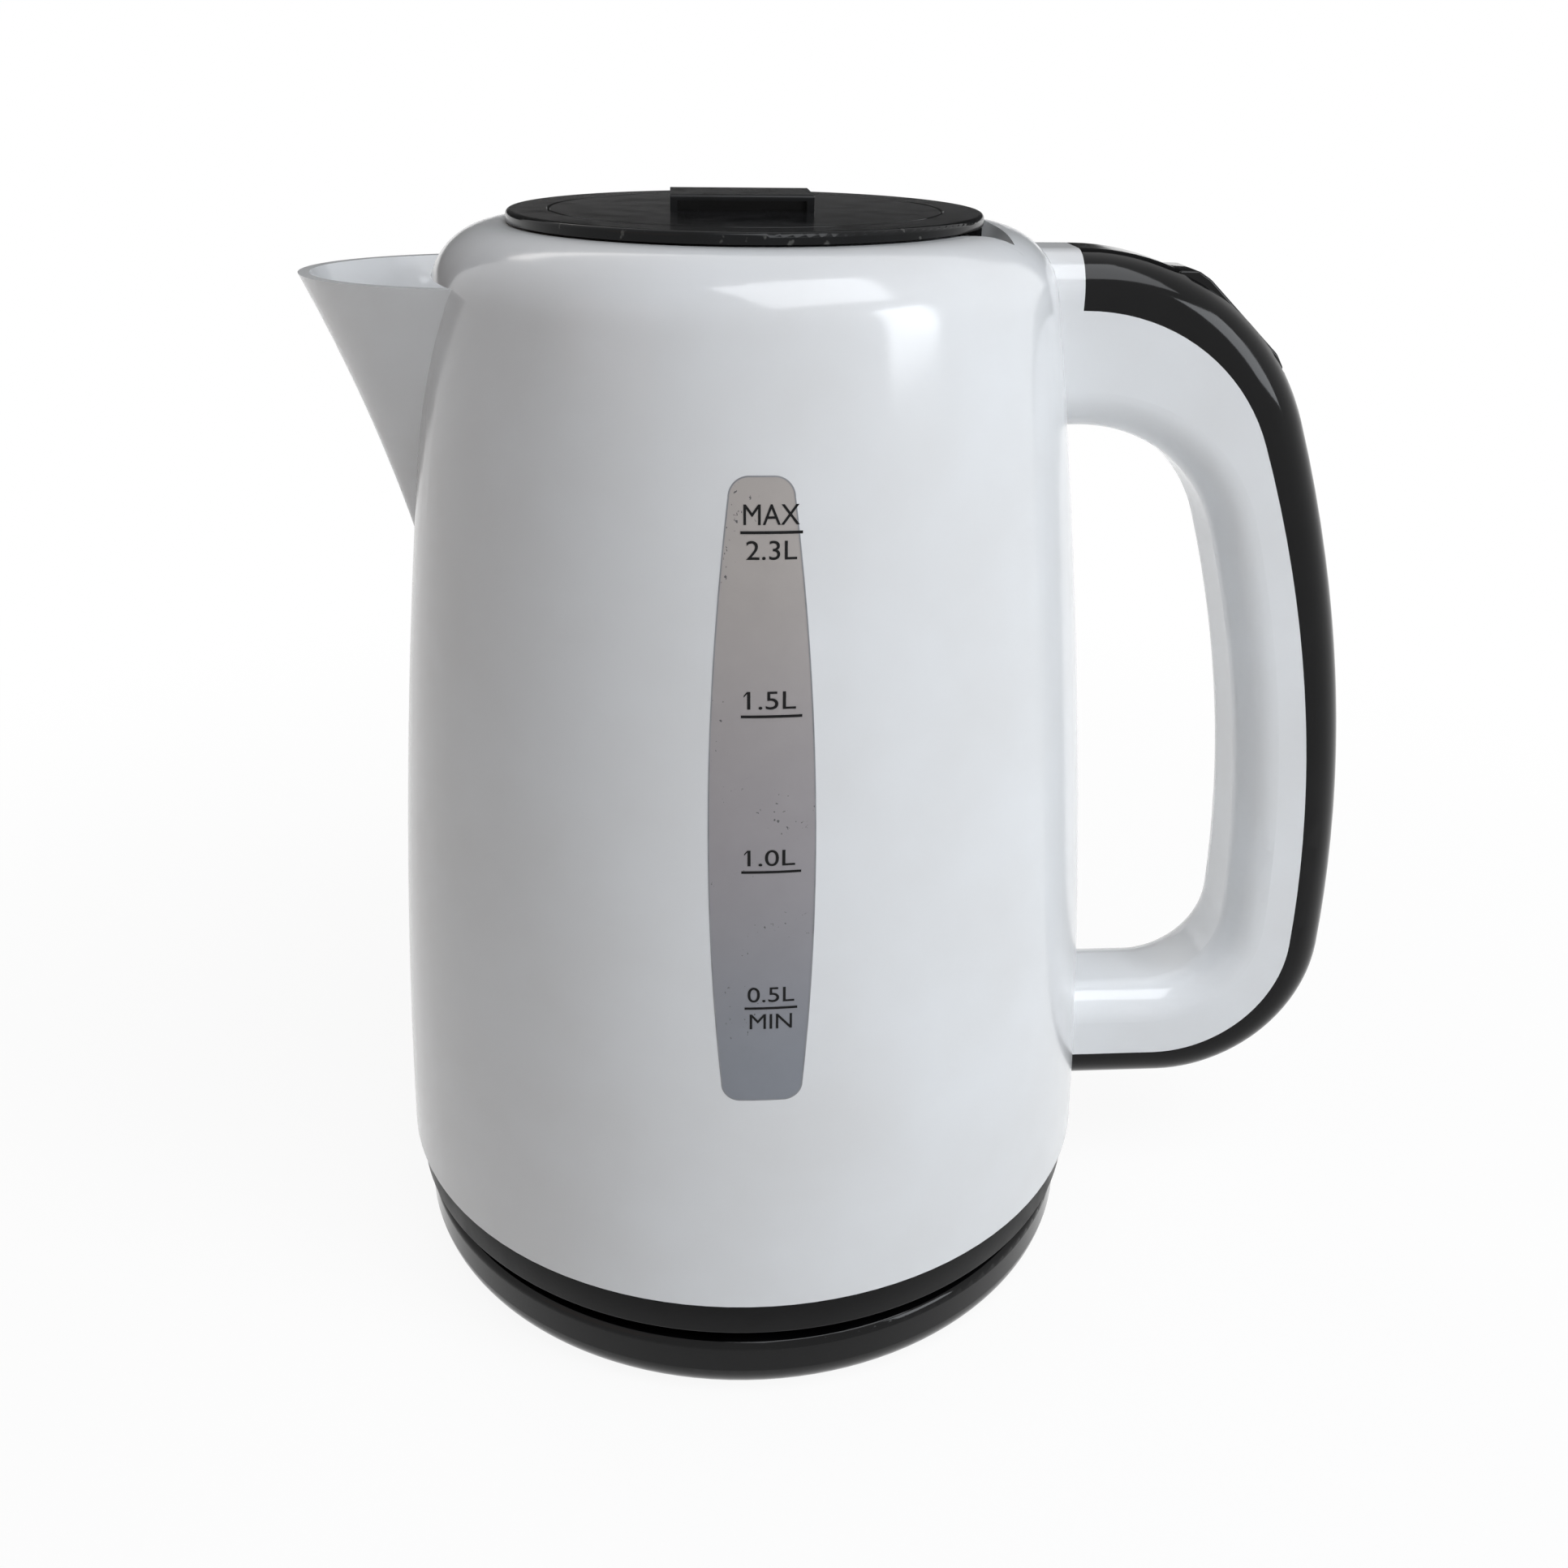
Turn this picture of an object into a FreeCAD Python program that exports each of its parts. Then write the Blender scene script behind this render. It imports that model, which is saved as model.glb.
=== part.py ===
"""Electric kettle standing on its power base.

+Z is up, the spout points to -X, the handle to +X and the gauge window faces -Y.
The origin is on the table, on the axis of the jug and of its power base.
"""
import FreeCAD, Part
import math
import os
import Sketcher

Vector = FreeCAD.Vector
X_AXIS = Vector(1, 0, 0)
Y_AXIS = Vector(0, 1, 0)

SIZES = {
    # power base
    "base_radius": 80.7, "base_taper": 4.5, "base_height": 15.9, "base_edge_z": 8.0,
    "base_edge_round": 9.0, "base_lip_round": 2.0, "base_rim": 3.0, "base_wall": 2.2,
    "rim_width": 6.7, "dish_z": 13.0, "foot_height": 1.0, "foot_inner": 54.0, "foot_outer": 62.0,
    "plate_thickness": 2.0, "plate_clearance": 0.2, "base_screw_circle": 42.0, "boss_radius": 4.0,
    "gland_radius": 4.2, "gland_bore": 3.2, "gland_length": 12.0, "gland_proud": 1.0,
    # socket on the base and plug under the jug
    "socket_hole": 19.0, "post_radius": 17.0, "post_top": 28.0, "flange_radius": 24.0,
    "slot_inner": 10.0, "slot_outer": 12.6, "slot_floor": 14.0, "pin_hole": 3.6, "socket_roof": 2.0,
    "contact_width": 5.0, "contact_thickness": 1.0, "contact_drop": 4.0, "contact_circle": 9.0,
    "shutter_height": 3.0, "running_fit": 0.08, "free_gap": 0.4,
    "plug_inner": 18.0, "plug_outer": 24.0, "plug_bottom": 20.6, "plug_roof_z": 30.0, "plug_roof": 2.0,
    "pin_radius": 3.0, "pin_tip_z": 16.5,
    # jug shell
    "shell_bottom_radius": 83.3, "shell_bottom_z": 29.0, "side_round": 1650.0, "wall": 2.6,
    "rim_radius": 49.4, "shoulder_z": 222.5, "shoulder_round": 14.0, "shoulder_tilt": 8.2,
    "mouth_radius": 44.5, "ledge_z": 68.4, "ledge_thickness": 2.6,
    # spout
    "spout_centre": 50.0, "spout_top_z": 227.0, "spout_mid_z": 199.0, "spout_low_z": 170.0,
    "spout_top_reach": 39.0, "spout_mid_reach": 28.4, "spout_low_reach": 20.3,
    "spout_top_half": 30.0, "spout_mid_half": 17.0, "spout_low_half": 6.0, "spout_wall": 2.2,
    # gauge window
    "window_top": 201.6, "window_bottom": 80.3, "window_top_half": 5.9, "window_bottom_half": 8.0,
    "window_side_round": 534.0, "window_corner": 3.7,
    # spout filter
    "filter_x": 50.0, "filter_half": 24.0, "filter_low": 178.0, "filter_high": 222.0,
    "filter_thickness": 2.0, "filter_border": 4.0, "mesh_thickness": 0.5, "guide_depth": 3.0,
    "mesh_bar": 1.4,
    # heater
    "plate_margin": 13.3, "heater_thickness": 1.2, "seal_thickness": 1.2, "seal_width": 4.0,
    "clamp_gap": 6.8, "clamp_edge": 3.3, "clamp_overlap": 10.0, "clamp_thickness": 2.0,
    "spreader_margin": 5.0, "spreader_thickness": 4.0, "element_margin": 11.0, "element_tube": 4.0,
    "control_gap": 6.0, "control_flange_width": 8.0, "control_flange_thickness": 4.0,
    # black band under the jug
    "band_step": 1.3, "band_low": 20.1, "band_floor": 2.2, "spigot_fit": 0.1, "spigot_wall": 2.2,
    "spigot_height": 3.0, "stand_gap": 4.0, "stand_width": 4.0, "cover_inset": 8.3, "cover_boss": 6.4,
    "cover_boss_top": 38.0,
    # fasteners
    "screw_radius": 1.5, "head_radius": 2.8, "head_height": 1.6, "screw_bite": 6.0,
    # handle
    "handle_width": 28.0, "handle_wall": 3.0, "cavity_half": 9.5, "handle_root": 56.0,
    "handle_round": 9.0, "grip_round": 8.0, "cover_start": 67.0,
    "outer_reach": 143.0, "outer_low": 31.2, "outer_top": 232.3,
    "outer_low_round": 38.0, "outer_back_round": 347.0, "outer_top_round": 54.4,
    "parting_reach": 133.0, "parting_low": 40.8, "parting_top": 221.3,
    "parting_low_round": 30.6, "parting_back_round": 319.0, "parting_top_round": 44.2,
    "inner_reach": 117.8, "inner_low": 58.0, "inner_top": 197.2,
    "inner_low_round": 18.4, "inner_back_round": 304.0, "inner_top_round": 33.5,
    "handle_screw_x": 100.0, "handle_boss": 3.6, "handle_screw_length": 18.0,
    # switch in the head of the handle, in a frame tipped about its pin
    "switch_x": 97.5, "switch_z": 215.3, "switch_tilt": 38.5, "rocker_width": 15.0,
    "rocker_gap": 1.0, "rocker_high": 7.0, "rocker_low": 5.4, "rocker_end": 15.6, "rocker_foot": 3.2,
    "rocker_side": 4.2, "stem_half": 4.0, "stem_width": 9.0, "stem_drop": 2.6, "switch_pin": 1.5,
    "cheek_gap": 0.5, "cheek_thickness": 2.5, "cheek_top": 2.4, "switch_floor": 10.0,
    "switch_floor_thickness": 2.0, "switch_floor_half": 13.0, "bimetal_radius": 5.0,
    "bimetal_thickness": 0.4, "bimetal_offset": 8.0, "tab_length": 5.0, "tab_width": 2.5,
    "wire_radius": 1.2, "wire_offset": 6.5, "steam_hole": 5.0, "steam_z": 210.0,
    # lid
    "lid_radius": 47.5, "lid_low": 236.9, "lid_thickness": 2.1, "lid_edge_round": 0.9,
    "groove_radius": 38.8, "groove_width": 0.7, "groove_depth": 0.5, "plug_radius": 43.4,
    "plug_low": 228.0, "plug_wall": 1.8, "plug_chord": 35.0, "lid_screw_circle": 30.0,
    "grip_left": 15.0, "grip_right": 13.0, "grip_half_top": 9.5, "grip_web": 3.0, "grip_plate": 1.1,
    "grip_height": 3.2, "grip_edge_round": 0.7, "grip_end": 1.4,
    "hinge_x": 42.0, "hinge_z": 234.6, "hinge_pin": 1.2, "knuckle_radius": 3.2, "knuckle_half": 15.0,
    "well_inner": 38.0, "well_outer": 49.5, "well_half": 26.0, "well_floor": 228.3, "well_wall": 2.0,
}

# Radii that follow the base's edge or the foot of the shell, as sheet expressions.
BASE_FOOT = "(dims.base_radius - dims.base_taper)"
DISH = "(dims.base_radius - dims.rim_width)"
STAND_OUTER = f"({DISH} - dims.stand_gap)"
STAND_INNER = f"({STAND_OUTER} - dims.stand_width)"
BAND = "(dims.shell_bottom_radius - dims.band_step)"
SPIGOT = "(dims.shell_bottom_radius - dims.wall - dims.spigot_fit)"
COVER_CIRCLE = "(dims.shell_bottom_radius - dims.cover_inset)"
HEATER = "(dims.shell_bottom_radius - dims.plate_margin)"
LEDGE_INNER = f"({HEATER} - dims.seal_width)"
CLAMP_OUTER = "(dims.shell_bottom_radius - dims.clamp_gap)"
CLAMP_CIRCLE = f"({CLAMP_OUTER} - dims.clamp_edge)"
CLAMP_INNER = f"({HEATER} - dims.clamp_overlap)"
SPREADER = f"({CLAMP_INNER} - dims.spreader_margin)"
ELEMENT = f"({SPREADER} - dims.element_margin)"
CONTROL_FLANGE = f"({ELEMENT} - dims.element_tube - dims.control_gap)"
CONTROL = f"({CONTROL_FLANGE} - dims.control_flange_width)"
CONTROL_CIRCLE = f"(({CONTROL} + {CONTROL_FLANGE}) / 2)"

doc = FreeCAD.newDocument("Kettle")
dims = doc.addObject("Spreadsheet::Sheet", "dims")
for row, (alias, size) in enumerate(SIZES.items(), start=1):
    dims.set(f"A{row}", alias)
    dims.set(f"B{row}", str(size))
    dims.setAlias(f"B{row}", alias)
doc.recompute()

sub_parts = []


def sized(text):
    """Number that a sheet expression gives now."""
    return float(dims.evalExpression(text))


def keep(obj, label):
    """Names an object as a sub-part of the kettle."""
    obj.Label = label
    sub_parts.append(obj)
    return obj


def bind(obj, **expressions):
    """Ties properties to the sheet; x, y and z stand for the place."""
    for prop, text in expressions.items():
        path = f"Placement.Base.{prop}" if prop in "xyz" else prop
        obj.setExpression(path, text)
    return obj


def side_curve(start, end, radius):
    """Arc or line from start to end; a positive radius bulges to the left of the way along it."""
    if radius is None:
        return Part.LineSegment(start, end), 1
    size = abs(radius)
    chord = end - start
    left = Vector(-chord.y, chord.x, 0).normalize()
    rise = math.sqrt(size ** 2 - (chord.Length / 2) ** 2)
    side = 1 if radius > 0 else -1
    centre = (start + end) * 0.5 - left * rise * side
    first, last = (end, start) if radius > 0 else (start, end)
    angles = [math.atan2(p.y - centre.y, p.x - centre.x) for p in (first, last)]
    circle = Part.Circle(centre, Vector(0, 0, 1), size)
    return Part.ArcOfCircle(circle, angles[0], angles[1]), 2 if radius > 0 else 1


def draw(sketch, points, rounds=None):
    """Closed outline through points of sheet expressions; rounds gives (side, radius) pairs by index."""
    rounds = rounds or {}
    places = [Vector(sized(x), sized(y), 0) for x, y in points]
    starts = []
    for i, place in enumerate(places):
        side, text = rounds.get(i, (1, None))
        radius = None if text is None else side * sized(text)
        curve, start = side_curve(place, places[(i + 1) % len(places)], radius)
        sketch.addGeometry(curve, False)
        starts.append(start)
    for i, (x, y) in enumerate(points):
        before = i - 1 if i else len(points) - 1
        sketch.addConstraint(Sketcher.Constraint("Coincident", before, 3 - starts[before], i, starts[i]))
        for kind, axis, text, value in (("DistanceX", -2, x, places[i].x),
                                        ("DistanceY", -1, y, places[i].y)):
            if value == 0:
                sketch.addConstraint(Sketcher.Constraint("PointOnObject", i, starts[i], axis))
                continue
            row = sketch.addConstraint(Sketcher.Constraint(kind, -1, 1, i, starts[i], value))
            sketch.setExpression(f"Constraints[{row}]", text)
        if i in rounds:
            row = sketch.addConstraint(Sketcher.Constraint("Radius", i, sized(rounds[i][1])))
            sketch.setExpression(f"Constraints[{row}]", rounds[i][1])


def sketched(name, plane, points, rounds=None):
    """Body with one sketch on one of its own planes."""
    body = doc.addObject("PartDesign::Body", name)
    sketch = body.newObject("Sketcher::SketchObject", name + "_outline")
    support = next(f for f in body.Origin.OriginFeatures if f.Role == plane)
    sketch.AttachmentSupport = (support, [""])
    sketch.MapMode = "FlatFace"
    draw(sketch, points, rounds)
    return body, sketch


def spun(name, points, rounds=None):
    """Body turned about Z from a half section of (radius, height) points."""
    body, sketch = sketched(name, "XZ_Plane", points, rounds)
    turned = body.newObject("PartDesign::Revolution", name + "_turned")
    turned.Profile = sketch
    turned.ReferenceAxis = (sketch, ["V_Axis"])
    turned.Angle = 360
    doc.recompute()
    return body


def padded(name, points, rounds, length, symmetric=True):
    """Body pushed out along Y from a side view of (x, z) points."""
    body, sketch = sketched(name, "XZ_Plane", points, rounds)
    pad = body.newObject("PartDesign::Pad", name + "_pad")
    pad.Profile = sketch
    pad.SideType = "Symmetric" if symmetric else "One side"
    pad.setExpression("Length", length)
    doc.recompute()
    return body


def rounded(body, radius, corners):
    """Fillets the long edges whose two ends are both among the given (x, z) corners."""
    def at_corner(vertex):
        return any(math.hypot(vertex.X - c.x, vertex.Z - c.y) < 0.01 for c in corners)

    base = body.Tip
    names = []
    for number, edge in enumerate(base.Shape.Edges, start=1):
        ends = edge.Vertexes
        along = abs(ends[0].Y - ends[-1].Y) < 0.01 and len(ends) == 2
        if along and all(at_corner(v) for v in ends):
            names.append(f"Edge{number}")
    fillet = body.newObject("PartDesign::Fillet", body.Name + "_round")
    fillet.Base = (base, names)
    fillet.setExpression("Radius", radius)
    doc.recompute()
    return body


def cylinder(name, radius, height, x="0", y="0", z="0", along=None):
    """Round bar standing on its place, or lying along the given direction."""
    bar = doc.addObject("Part::Cylinder", name)
    if along is not None:
        bar.Placement = FreeCAD.Placement(Vector(), FreeCAD.Rotation(Vector(0, 0, 1), along))
    return bind(bar, Radius=radius, Height=height, x=x, y=y, z=z)


def box(name, length, width, height, x, y, z):
    """Block from its lowest corner."""
    block = doc.addObject("Part::Box", name)
    return bind(block, Length=length, Width=width, Height=height, x=x, y=y, z=z)


def joined(name, *pieces):
    fuse = doc.addObject("Part::MultiFuse", name)
    fuse.Shapes = list(pieces)
    fuse.Refine = True
    return fuse


def grouped(name, pieces):
    """Separate solids under one name."""
    group = doc.addObject("Part::Compound", name)
    group.Links = list(pieces)
    return group


def cut(name, base, *tools):
    for number, tool in enumerate(tools, start=1):
        last = number == len(tools)
        step = doc.addObject("Part::Cut", name if last else f"{name}_cut{number}")
        step.Base = base
        step.Tool = tool
        base = step
    return base


def shared(name, *pieces):
    overlap = doc.addObject("Part::MultiCommon", name)
    overlap.Shapes = list(pieces)
    return overlap


def ring_of(name, count, start_angle, make):
    """Copies around Z: make(name, cosine, sine) gives one."""
    angles = [math.radians(start_angle + 360 * i / count) for i in range(count)]
    return [make(f"{name}_{i}", round(math.cos(a), 6), round(math.sin(a), 6))
            for i, a in enumerate(angles, start=1)]


def screws(name, count, start_angle, circle, head_z, length):
    """Pan-head screws around Z, driven upwards with their heads below head_z."""
    def make(piece, cosine, sine):
        x, y = f"{circle} * {cosine}", f"{circle} * {sine}"
        head = cylinder(piece + "_head", "dims.head_radius", "dims.head_height", x, y,
                        f"{head_z} - dims.head_height")
        shank = cylinder(piece + "_shank", "dims.screw_radius", length, x, y, head_z)
        return joined(piece, head, shank)

    return grouped(name, ring_of(name, count, start_angle, make))


def posts(name, count, start_angle, circle, radius, low, height):
    """Round bosses around Z."""
    def make(piece, cosine, sine):
        return cylinder(piece, radius, height, f"{circle} * {cosine}", f"{circle} * {sine}", low)

    return ring_of(name, count, start_angle, make)


def tipped(obj):
    """Puts a piece drawn about the rocker's pin into the head of the handle."""
    obj.Placement = FreeCAD.Placement(Vector(), FreeCAD.Rotation(Y_AXIS, sized("dims.switch_tilt")))
    bind(obj, x="dims.switch_x", z="dims.switch_z")
    obj.setExpression("Placement.Rotation.Angle", "dims.switch_tilt")
    return obj


def round_path(points):
    """Wire of straight runs with an arc at each corner, as large as the runs allow."""
    share = 0.45
    edges = []
    start = points[0]
    for before, corner, after in zip(points, points[1:], points[2:]):
        back, ahead = before - corner, after - corner
        trim = share * min(back.Length, ahead.Length)
        half_angle = back.getAngle(ahead) / 2
        back.normalize()
        ahead.normalize()
        inwards = (back + ahead).normalize()
        middle = corner + inwards * trim * (1 / math.cos(half_angle) - math.tan(half_angle))
        first, last = corner + back * trim, corner + ahead * trim
        edges.append(Part.LineSegment(start, first).toShape())
        edges.append(Part.Arc(first, middle, last).toShape())
        start = last
    edges.append(Part.LineSegment(start, points[-1]).toShape())
    return Part.Wire(edges)


def tube(points, radius):
    """Round wire along a path."""
    path = round_path(points)
    circle = Part.Circle(points[0], points[1] - points[0], radius).toShape()
    return path.makePipeShell([Part.Wire([circle])], True, False)


def make_base():
    """Power base: hollow top, plate with feet, socket post and cord gland."""
    under_dish = "dims.dish_z - dims.base_wall"
    inside = f"{BASE_FOOT} - dims.base_rim"
    plate_top = "dims.foot_height + dims.plate_thickness"
    shell = spun("base_shell", [
        ("dims.socket_hole", under_dish), (inside, under_dish), (inside, "dims.foot_height"),
        (BASE_FOOT, "dims.foot_height"), ("dims.base_radius", "dims.base_edge_z"),
        ("dims.base_radius", "dims.base_height - dims.base_lip_round"),
        ("dims.base_radius - dims.base_lip_round", "dims.base_height"),
        (DISH, "dims.base_height"), (DISH, "dims.dish_z"),
        ("dims.socket_hole", "dims.dish_z")],
        {3: (-1, "dims.base_edge_round"), 5: (-1, "dims.base_lip_round")})
    bosses = posts("base_boss", 4, 45, "dims.base_screw_circle", "dims.boss_radius", plate_top,
                   f"{under_dish} - ({plate_top})")
    fixings = keep(screws("base_screw_set", 4, 45, "dims.base_screw_circle",
                          "dims.foot_height + dims.head_height", "dims.screw_bite"), "base_screws")
    gland_start = "dims.base_radius + dims.gland_proud - dims.gland_length"
    gland_z = f"(dims.foot_height + {under_dish}) / 2"
    gland_body = cylinder("gland_body", "dims.gland_radius", "dims.gland_length", y=gland_start, z=gland_z,
                          along=Y_AXIS)
    gland_hole = cylinder("gland_hole", "dims.gland_bore", "dims.gland_length", y=gland_start, z=gland_z,
                          along=Y_AXIS)
    keep(cut("gland", gland_body, gland_hole), "cord_gland")
    keep(cut("base_cap", joined("base_shell_bossed", shell, *bosses), fixings, gland_body), "base_top")
    plate = cylinder("plate_disc", f"{inside} - dims.plate_clearance", "dims.plate_thickness",
                     z="dims.foot_height")
    gland_room = box("gland_room", "2 * dims.gland_radius", "dims.gland_length", "2 * dims.gland_radius",
                     "-dims.gland_radius", gland_start, f"{gland_z} - dims.gland_radius")
    keep(cut("plate", plate, fixings, gland_room), "base_plate")
    keep(spun("foot", [
        ("dims.foot_inner", "0"), ("dims.foot_outer", "0"), ("dims.foot_outer", "dims.foot_height"),
        ("dims.foot_inner", "dims.foot_height")]), "foot_ring")
    roof_z = "dims.slot_floor - dims.socket_roof"
    socket = spun("socket", [
        ("0", roof_z), ("dims.slot_outer", roof_z), ("dims.slot_outer", plate_top),
        ("dims.post_radius", plate_top),
        ("dims.post_radius", f"{under_dish} - dims.base_wall"),
        ("dims.flange_radius", f"{under_dish} - dims.base_wall"),
        ("dims.flange_radius", under_dish), ("dims.post_radius", under_dish),
        ("dims.post_radius", "dims.post_top"),
        ("dims.slot_outer", "dims.post_top"), ("dims.slot_outer", "dims.slot_floor"),
        ("dims.slot_inner", "dims.slot_floor"), ("dims.slot_inner", "dims.post_top"),
        ("dims.pin_hole", "dims.post_top"), ("dims.pin_hole", "dims.slot_floor"), ("0", "dims.slot_floor")])
    keep(socket, "base_socket")

    def contact(piece, cosine, sine):
        return box(piece, "dims.contact_width", "dims.contact_thickness", "dims.contact_drop",
                   f"dims.contact_circle * {cosine} - dims.contact_width / 2",
                   f"dims.contact_circle * {sine} - dims.contact_thickness / 2",
                   f"{roof_z} - dims.contact_drop")

    keep(grouped("contacts", ring_of("contact", 3, 90, contact)), "socket_contacts")
    keep(spun("shutter", [
        ("dims.slot_inner + dims.running_fit", "dims.slot_floor"),
        ("dims.slot_outer - dims.free_gap", "dims.slot_floor"),
        ("dims.slot_outer - dims.free_gap", "dims.slot_floor + dims.shutter_height"),
        ("dims.slot_inner + dims.running_fit", "dims.slot_floor + dims.shutter_height")]), "shutter_ring")


def make_plug():
    """Plug under the jug: skirt that goes over the socket post, ring and pin."""
    roof_top = "dims.plug_roof_z + dims.plug_roof"
    keep(spun("plug", [
        ("dims.plug_inner", "dims.plug_bottom"), ("dims.plug_outer", "dims.plug_bottom"),
        ("dims.plug_outer", roof_top),
        ("0", roof_top), ("0", "dims.plug_roof_z"), ("dims.plug_inner", "dims.plug_roof_z")]), "jug_plug")
    ring_low = "dims.slot_floor + dims.shutter_height + dims.free_gap"
    keep(spun("ring_contact", [
        ("dims.slot_inner + dims.free_gap", ring_low), ("dims.slot_outer - dims.free_gap", ring_low),
        ("dims.slot_outer - dims.free_gap", "dims.plug_roof_z"),
        ("dims.slot_inner + dims.free_gap", "dims.plug_roof_z")]), "plug_ring")
    keep(cylinder("pin_contact", "dims.pin_radius", "dims.plug_roof_z - dims.pin_tip_z",
                  z="dims.pin_tip_z"), "plug_pin")


def make_heater():
    """Steel floor of the jug with its seal, clamp, spreader, element and control."""
    seal_low = "dims.ledge_z - dims.seal_thickness"
    plate_low = f"{seal_low} - dims.heater_thickness"
    clamp_low = f"{plate_low} - dims.clamp_thickness"
    spreader_low = f"{plate_low} - dims.spreader_thickness"
    keep(cylinder("floor_plate", HEATER, "dims.heater_thickness", z=plate_low),
         "heating_plate")
    keep(spun("floor_seal", [
        (LEDGE_INNER, seal_low), (HEATER, seal_low),
        (HEATER, "dims.ledge_z"),
        (LEDGE_INNER, "dims.ledge_z")]), "plate_seal")
    bolts = keep(screws("clamp_screw_set", 6, 30, CLAMP_CIRCLE, clamp_low, "dims.screw_bite"),
                 "clamp_screws")
    ring = spun("clamp_blank", [
        (CLAMP_INNER, clamp_low), (CLAMP_OUTER, clamp_low), (CLAMP_OUTER, plate_low),
        (CLAMP_INNER, plate_low)])
    keep(cut("clamp", ring, bolts), "clamp_ring")
    spreader = cylinder("spreader_disc", SPREADER, "dims.spreader_thickness", z=spreader_low)
    flange_low = f"{spreader_low} - dims.control_flange_thickness"
    fixings = keep(screws("control_screw_set", 3, 90, CONTROL_CIRCLE, flange_low,
                          "dims.screw_bite"), "control_screws")
    keep(cut("spreader", spreader, fixings), "heat_spreader")
    element = doc.addObject("Part::Torus", "element")
    bind(element, Radius1=ELEMENT, Radius2="dims.element_tube",
         z=f"{spreader_low} - dims.element_tube")
    keep(element, "heating_element")
    roof_top = "dims.plug_roof_z + dims.plug_roof"
    control = spun("control_blank", [
        ("0", roof_top), (CONTROL, roof_top), (CONTROL, flange_low),
        (CONTROL_FLANGE, flange_low), (CONTROL_FLANGE, spreader_low), ("0", spreader_low)])
    keep(cut("control", control, fixings), "control_unit")
    bosses = posts("clamp_boss", 6, 30, CLAMP_CIRCLE, "dims.head_radius", plate_low,
                   f"dims.ledge_z - ({plate_low})")
    return bosses, bolts


def make_bottom_cover():
    """Black band and floor that close the jug from below, with the rib that it stands on."""
    spigot_top = "dims.shell_bottom_z + dims.spigot_height"
    spigot_inner = f"{SPIGOT} - dims.spigot_wall"
    cover = spun("cover_blank", [
        ("dims.plug_outer", "dims.band_low"), (STAND_INNER, "dims.band_low"),
        (STAND_INNER, "dims.dish_z"),
        (STAND_OUTER, "dims.dish_z"), (STAND_OUTER, "dims.band_low"),
        (BAND, "dims.band_low"),
        (BAND, "dims.shell_bottom_z"), (SPIGOT, "dims.shell_bottom_z"),
        (SPIGOT, spigot_top), (spigot_inner, spigot_top),
        (spigot_inner, "dims.band_low + dims.band_floor"),
        ("dims.plug_outer", "dims.band_low + dims.band_floor")])
    fixings = keep(screws("cover_screw_set", 3, 60, COVER_CIRCLE, "dims.band_low",
                          "dims.shell_bottom_z - dims.band_low + dims.screw_bite"), "cover_screws")
    return keep(cut("cover_bored", cover, fixings), "bottom_cover"), fixings


def jug_blank(name, inset):
    """Solid of revolution of the jug's outside, or of its inside where inset is the wall."""
    bottom = "dims.shell_bottom_z"
    shoulder = f"(dims.shoulder_round - {inset})"
    end_r = f"dims.rim_radius + {shoulder} * cos(dims.shoulder_tilt * 1 deg)"
    end_z = f"dims.shoulder_z + {shoulder} * sin(dims.shoulder_tilt * 1 deg)"
    return spun(name, [
        ("0", bottom), (f"dims.shell_bottom_radius - {inset}", bottom), (end_r, end_z),
        ("dims.rim_radius", f"dims.shoulder_z + {shoulder}"), ("0", f"dims.shoulder_z + {shoulder}")],
        {1: (-1, f"dims.side_round - {inset}"), 2: (-1, shoulder)})


def spout_blank(name, inset):
    """Beak lofted through three ellipses that shrink towards its keel."""
    sections = []
    for level in ("top", "mid", "low"):
        oval = doc.addObject("Part::Ellipse", f"{name}_{level}")
        bind(oval, MajorRadius=f"dims.spout_{level}_reach - {inset}",
             MinorRadius=f"dims.spout_{level}_half - {inset}",
             x="-dims.spout_centre", z=f"dims.spout_{level}_z + {inset} * {1 if level == 'low' else 0}")
        sections.append(oval)
    loft = doc.addObject("Part::Loft", name)
    loft.Sections = sections
    loft.Solid = True
    return loft


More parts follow.
